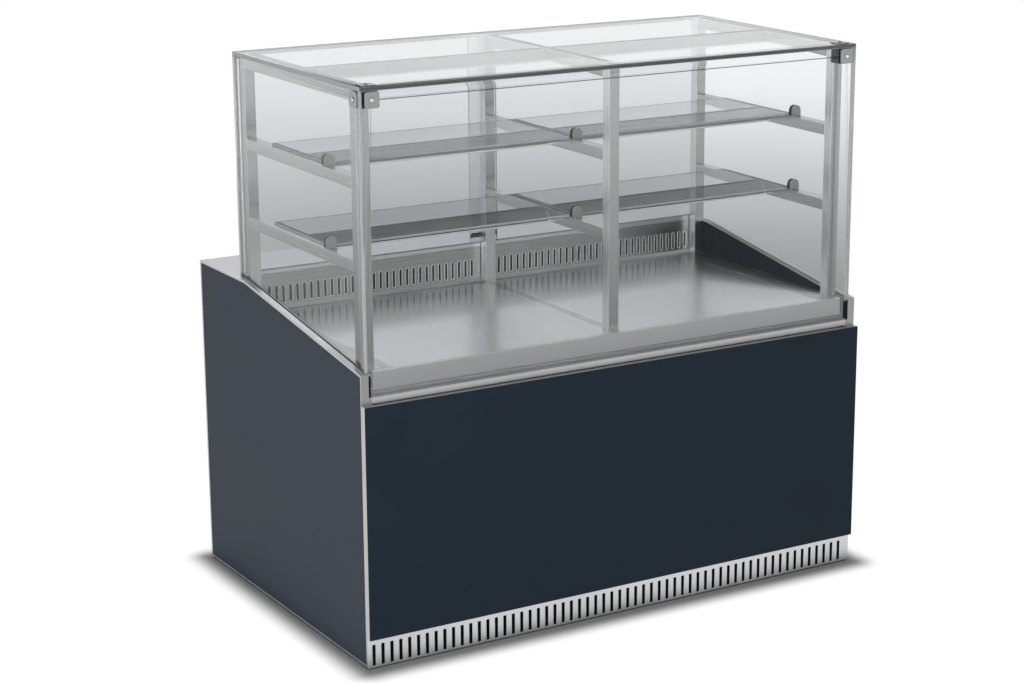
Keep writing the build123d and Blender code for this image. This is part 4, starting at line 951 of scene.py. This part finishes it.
def make_display():
    """Two plain digits on the lens."""
    shape = Shape()
    x, z, face = middle_of("display_lens")
    for segments, place in (("bcfg", DIGIT_PLACE), ("abcdef", -DIGIT_PLACE)):
        for name in segments:
            across, up, upright = SEGMENTS[name]
            outline = segment_outline(x + place + across * SEGMENT, z + up * SEGMENT, upright)
            shape.prism(outline, 1, face - MARK_SUNK, face + MARK_THICK)
    shape.make("display_digits", ["segment"], "case", "smoked_lens")


def make_button_marks():
    for name, (body, outline) in BUTTON_MARKS.items():
        x, z, face = middle_of(name)
        shape = Shape()
        shape.prism([(x + a, z + b) for a, b in outline], 1, face - MARK_SUNK, face + MARK_THICK)
        shape.make(f"{name}_mark", ["mark"], body, "diffuser")


make_kick_filter()
make_slot_rims()
make_slot_shade_sheet()
make_screws()
make_stops()
make_post_plugs()
make_beam_seams()
make_louvre_hoods()
make_display()
make_button_marks()


# Studio

AMBIENT = 0.55
# Heights in the sky, as the sine of the elevation, and the light there
SKY = (
    (0.0, 1.0), (0.14, 1.0), (0.165, 0.72), (0.18, 0.60), (0.20, 0.34),
    (0.226, 0.22), (0.27, 1.0), (0.40, 0.9), (0.55, 0.5), (0.85, 0.26),
)
FLOOR_SIZE = 14
FLOOR_COLOR = 0.80
# The dark grey of the seen floor near the case, and far behind it through glass: painted shadow on top of the
# real one.
FLOOR_PAINTED_SHADE = 0.22
SHADOW_REACH = 0.07
SHADOW_REACH_BEHIND_GLASS = 7.5
# Name, place, target, size in metres, and power in watts
LAMPS = (
    ("key", (-1.8, -4.4, 4.8), (0, 0, 0.6), (3.2, 3.2), 120),
    ("back", (0.8, 4.2, 4.2), (0, 0, 0.9), (4.8, 1.8), 60),
    ("low", (-2.4, -2.2, 0.6), (-0.5, -0.3, 0.2), (2.0, 0.8), 24),
)


def grey(level):
    return (level, level, level, 1)


def seen_ray(tree):
    """1 for the rays that see the background: from the camera, in a reflection or through glass."""
    path = tree.nodes.new("ShaderNodeLightPath")
    seen = path.outputs["Is Camera Ray"]
    for ray in ("Is Glossy Ray", "Is Transmission Ray"):
        either = tree.nodes.new("ShaderNodeMath")
        either.operation = "MAXIMUM"
        tree.links.new(seen, either.inputs[0])
        tree.links.new(path.outputs[ray], either.inputs[1])
        seen = either.outputs[0]
    return seen


def make_world():
    """A studio with a white horizon, a dark screen above it, and a dim ceiling. Its diffuse light is even."""
    world = bpy.data.worlds.new("studio")
    world.use_nodes = True
    scene.world = world
    tree = world.node_tree
    new = tree.nodes.new
    link = tree.links.new
    back = tree.nodes["Background"]
    place = new("ShaderNodeTexCoord")
    split = new("ShaderNodeSeparateXYZ")
    link(place.outputs["Generated"], split.inputs[0])
    ramp = new("ShaderNodeValToRGB")
    stops = ramp.color_ramp.elements
    stops.remove(stops[1])
    stops[0].position = SKY[0][0]
    stops[0].color = grey(SKY[0][1])
    for height, light in SKY[1:]:
        stops.new(height).color = grey(light)
    link(split.outputs["Z"], ramp.inputs["Fac"])
    level = new("ShaderNodeMix")
    level.data_type = "RGBA"
    level.inputs["A"].default_value = grey(AMBIENT)
    link(seen_ray(tree), level.inputs["Factor"])
    link(ramp.outputs["Color"], level.inputs["B"])
    link(level.outputs["Result"], back.inputs["Color"])


def distance_from_case(tree):
    """Distance on the floor from the case's footprint."""
    low, high = cad_bounds
    place = tree.nodes.new("ShaderNodeTexCoord")
    previous = place.outputs["Object"]
    steps = [
        ("SUBTRACT", [(a + b) / 2 for a, b in zip(low, high)]),
        ("ABSOLUTE", None),
        ("SUBTRACT", [(b - a) / 2 for a, b in zip(low, high)]),
        ("MAXIMUM", (0, 0, 0)),
        ("MULTIPLY", (1, 1, 0)),
        ("LENGTH", None),
    ]
    for operation, value in steps:
        step = tree.nodes.new("ShaderNodeVectorMath")
        step.operation = operation
        tree.links.new(previous, step.inputs[0])
        if value is not None:
            step.inputs[1].default_value = value
        previous = step.outputs["Value" if operation == "LENGTH" else "Vector"]
    return previous


def fade(tree, distance, reach):
    """0 at the case, and 1 at the reach and beyond."""
    node = tree.nodes.new("ShaderNodeMapRange")
    node.interpolation_type = "SMOOTHSTEP"
    node.inputs["From Max"].default_value = reach
    tree.links.new(distance, node.inputs["Value"])
    return node.outputs["Result"]


def pick(tree, factor, a, b):
    """A number: a where the factor is 0, and b where it is 1."""
    node = tree.nodes.new("ShaderNodeMix")
    tree.links.new(factor, node.inputs["Factor"])
    for socket, value in ((node.inputs["A"], a), (node.inputs["B"], b)):
        if isinstance(value, (int, float)):
            socket.default_value = value
        else:
            tree.links.new(value, socket)
    return node.outputs["Result"]


def make_floor():
    """A floor that is seen as white, and keeps the shadow of the object where it stands. Where it is seen, its
    lit part is a dark grey, which deepens that shadow near the case and greys the floor far behind the case
    through glass: painted shadow on top of the real one.
    """
    half = FLOOR_SIZE
    mesh = bpy.data.meshes.new("floor")
    corners = [(*corner, 0) for corner in rectangle((-half, half), (-half, half))]
    mesh.from_pydata(corners, [], [(0, 1, 2, 3)])
    floor = bpy.data.objects.new("floor", mesh)
    scene.collection.objects.link(floor)
    mat = bpy.data.materials.new("floor")
    mat.use_nodes = True
    tree = mat.node_tree
    tree.nodes.remove(tree.nodes["Principled BSDF"])
    path = tree.nodes.new("ShaderNodeLightPath")
    distance = distance_from_case(tree)
    near = fade(tree, distance, SHADOW_REACH)
    through = fade(tree, distance, SHADOW_REACH_BEHIND_GLASS)
    white = pick(tree, path.outputs["Is Transmission Ray"], near, through)
    seen = seen_ray(tree)
    lit = tree.nodes.new("ShaderNodeBsdfDiffuse")
    # The seen floor takes the dark grey: painted shadow.
    shade = tree.nodes.new("ShaderNodeMix")
    shade.data_type = "RGBA"
    shade.inputs["A"].default_value = grey(FLOOR_COLOR)
    shade.inputs["B"].default_value = grey(FLOOR_PAINTED_SHADE)
    tree.links.new(seen, shade.inputs["Factor"])
    tree.links.new(shade.outputs["Result"], lit.inputs["Color"])
    flat = tree.nodes.new("ShaderNodeEmission")
    mix = tree.nodes.new("ShaderNodeMixShader")
    tree.links.new(pick(tree, seen, 0.0, white), mix.inputs["Fac"])
    tree.links.new(lit.outputs["BSDF"], mix.inputs[1])
    tree.links.new(flat.outputs["Emission"], mix.inputs[2])
    tree.links.new(mix.outputs["Shader"], tree.nodes["Material Output"].inputs["Surface"])
    floor.data.materials.append(mat)


def make_lamp(name, place, target, size, power):
    data = bpy.data.lights.new(name, "AREA")
    data.shape = "RECTANGLE"
    data.size, data.size_y = size
    data.energy = power
    lamp = bpy.data.objects.new(name, data)
    lamp.location = place
    lamp.rotation_euler = (Vector(target) - Vector(place)).to_track_quat("-Z", "Y").to_euler()
    scene.collection.objects.link(lamp)


make_world()
make_floor()
for lamp_values in LAMPS:
    make_lamp(*lamp_values)
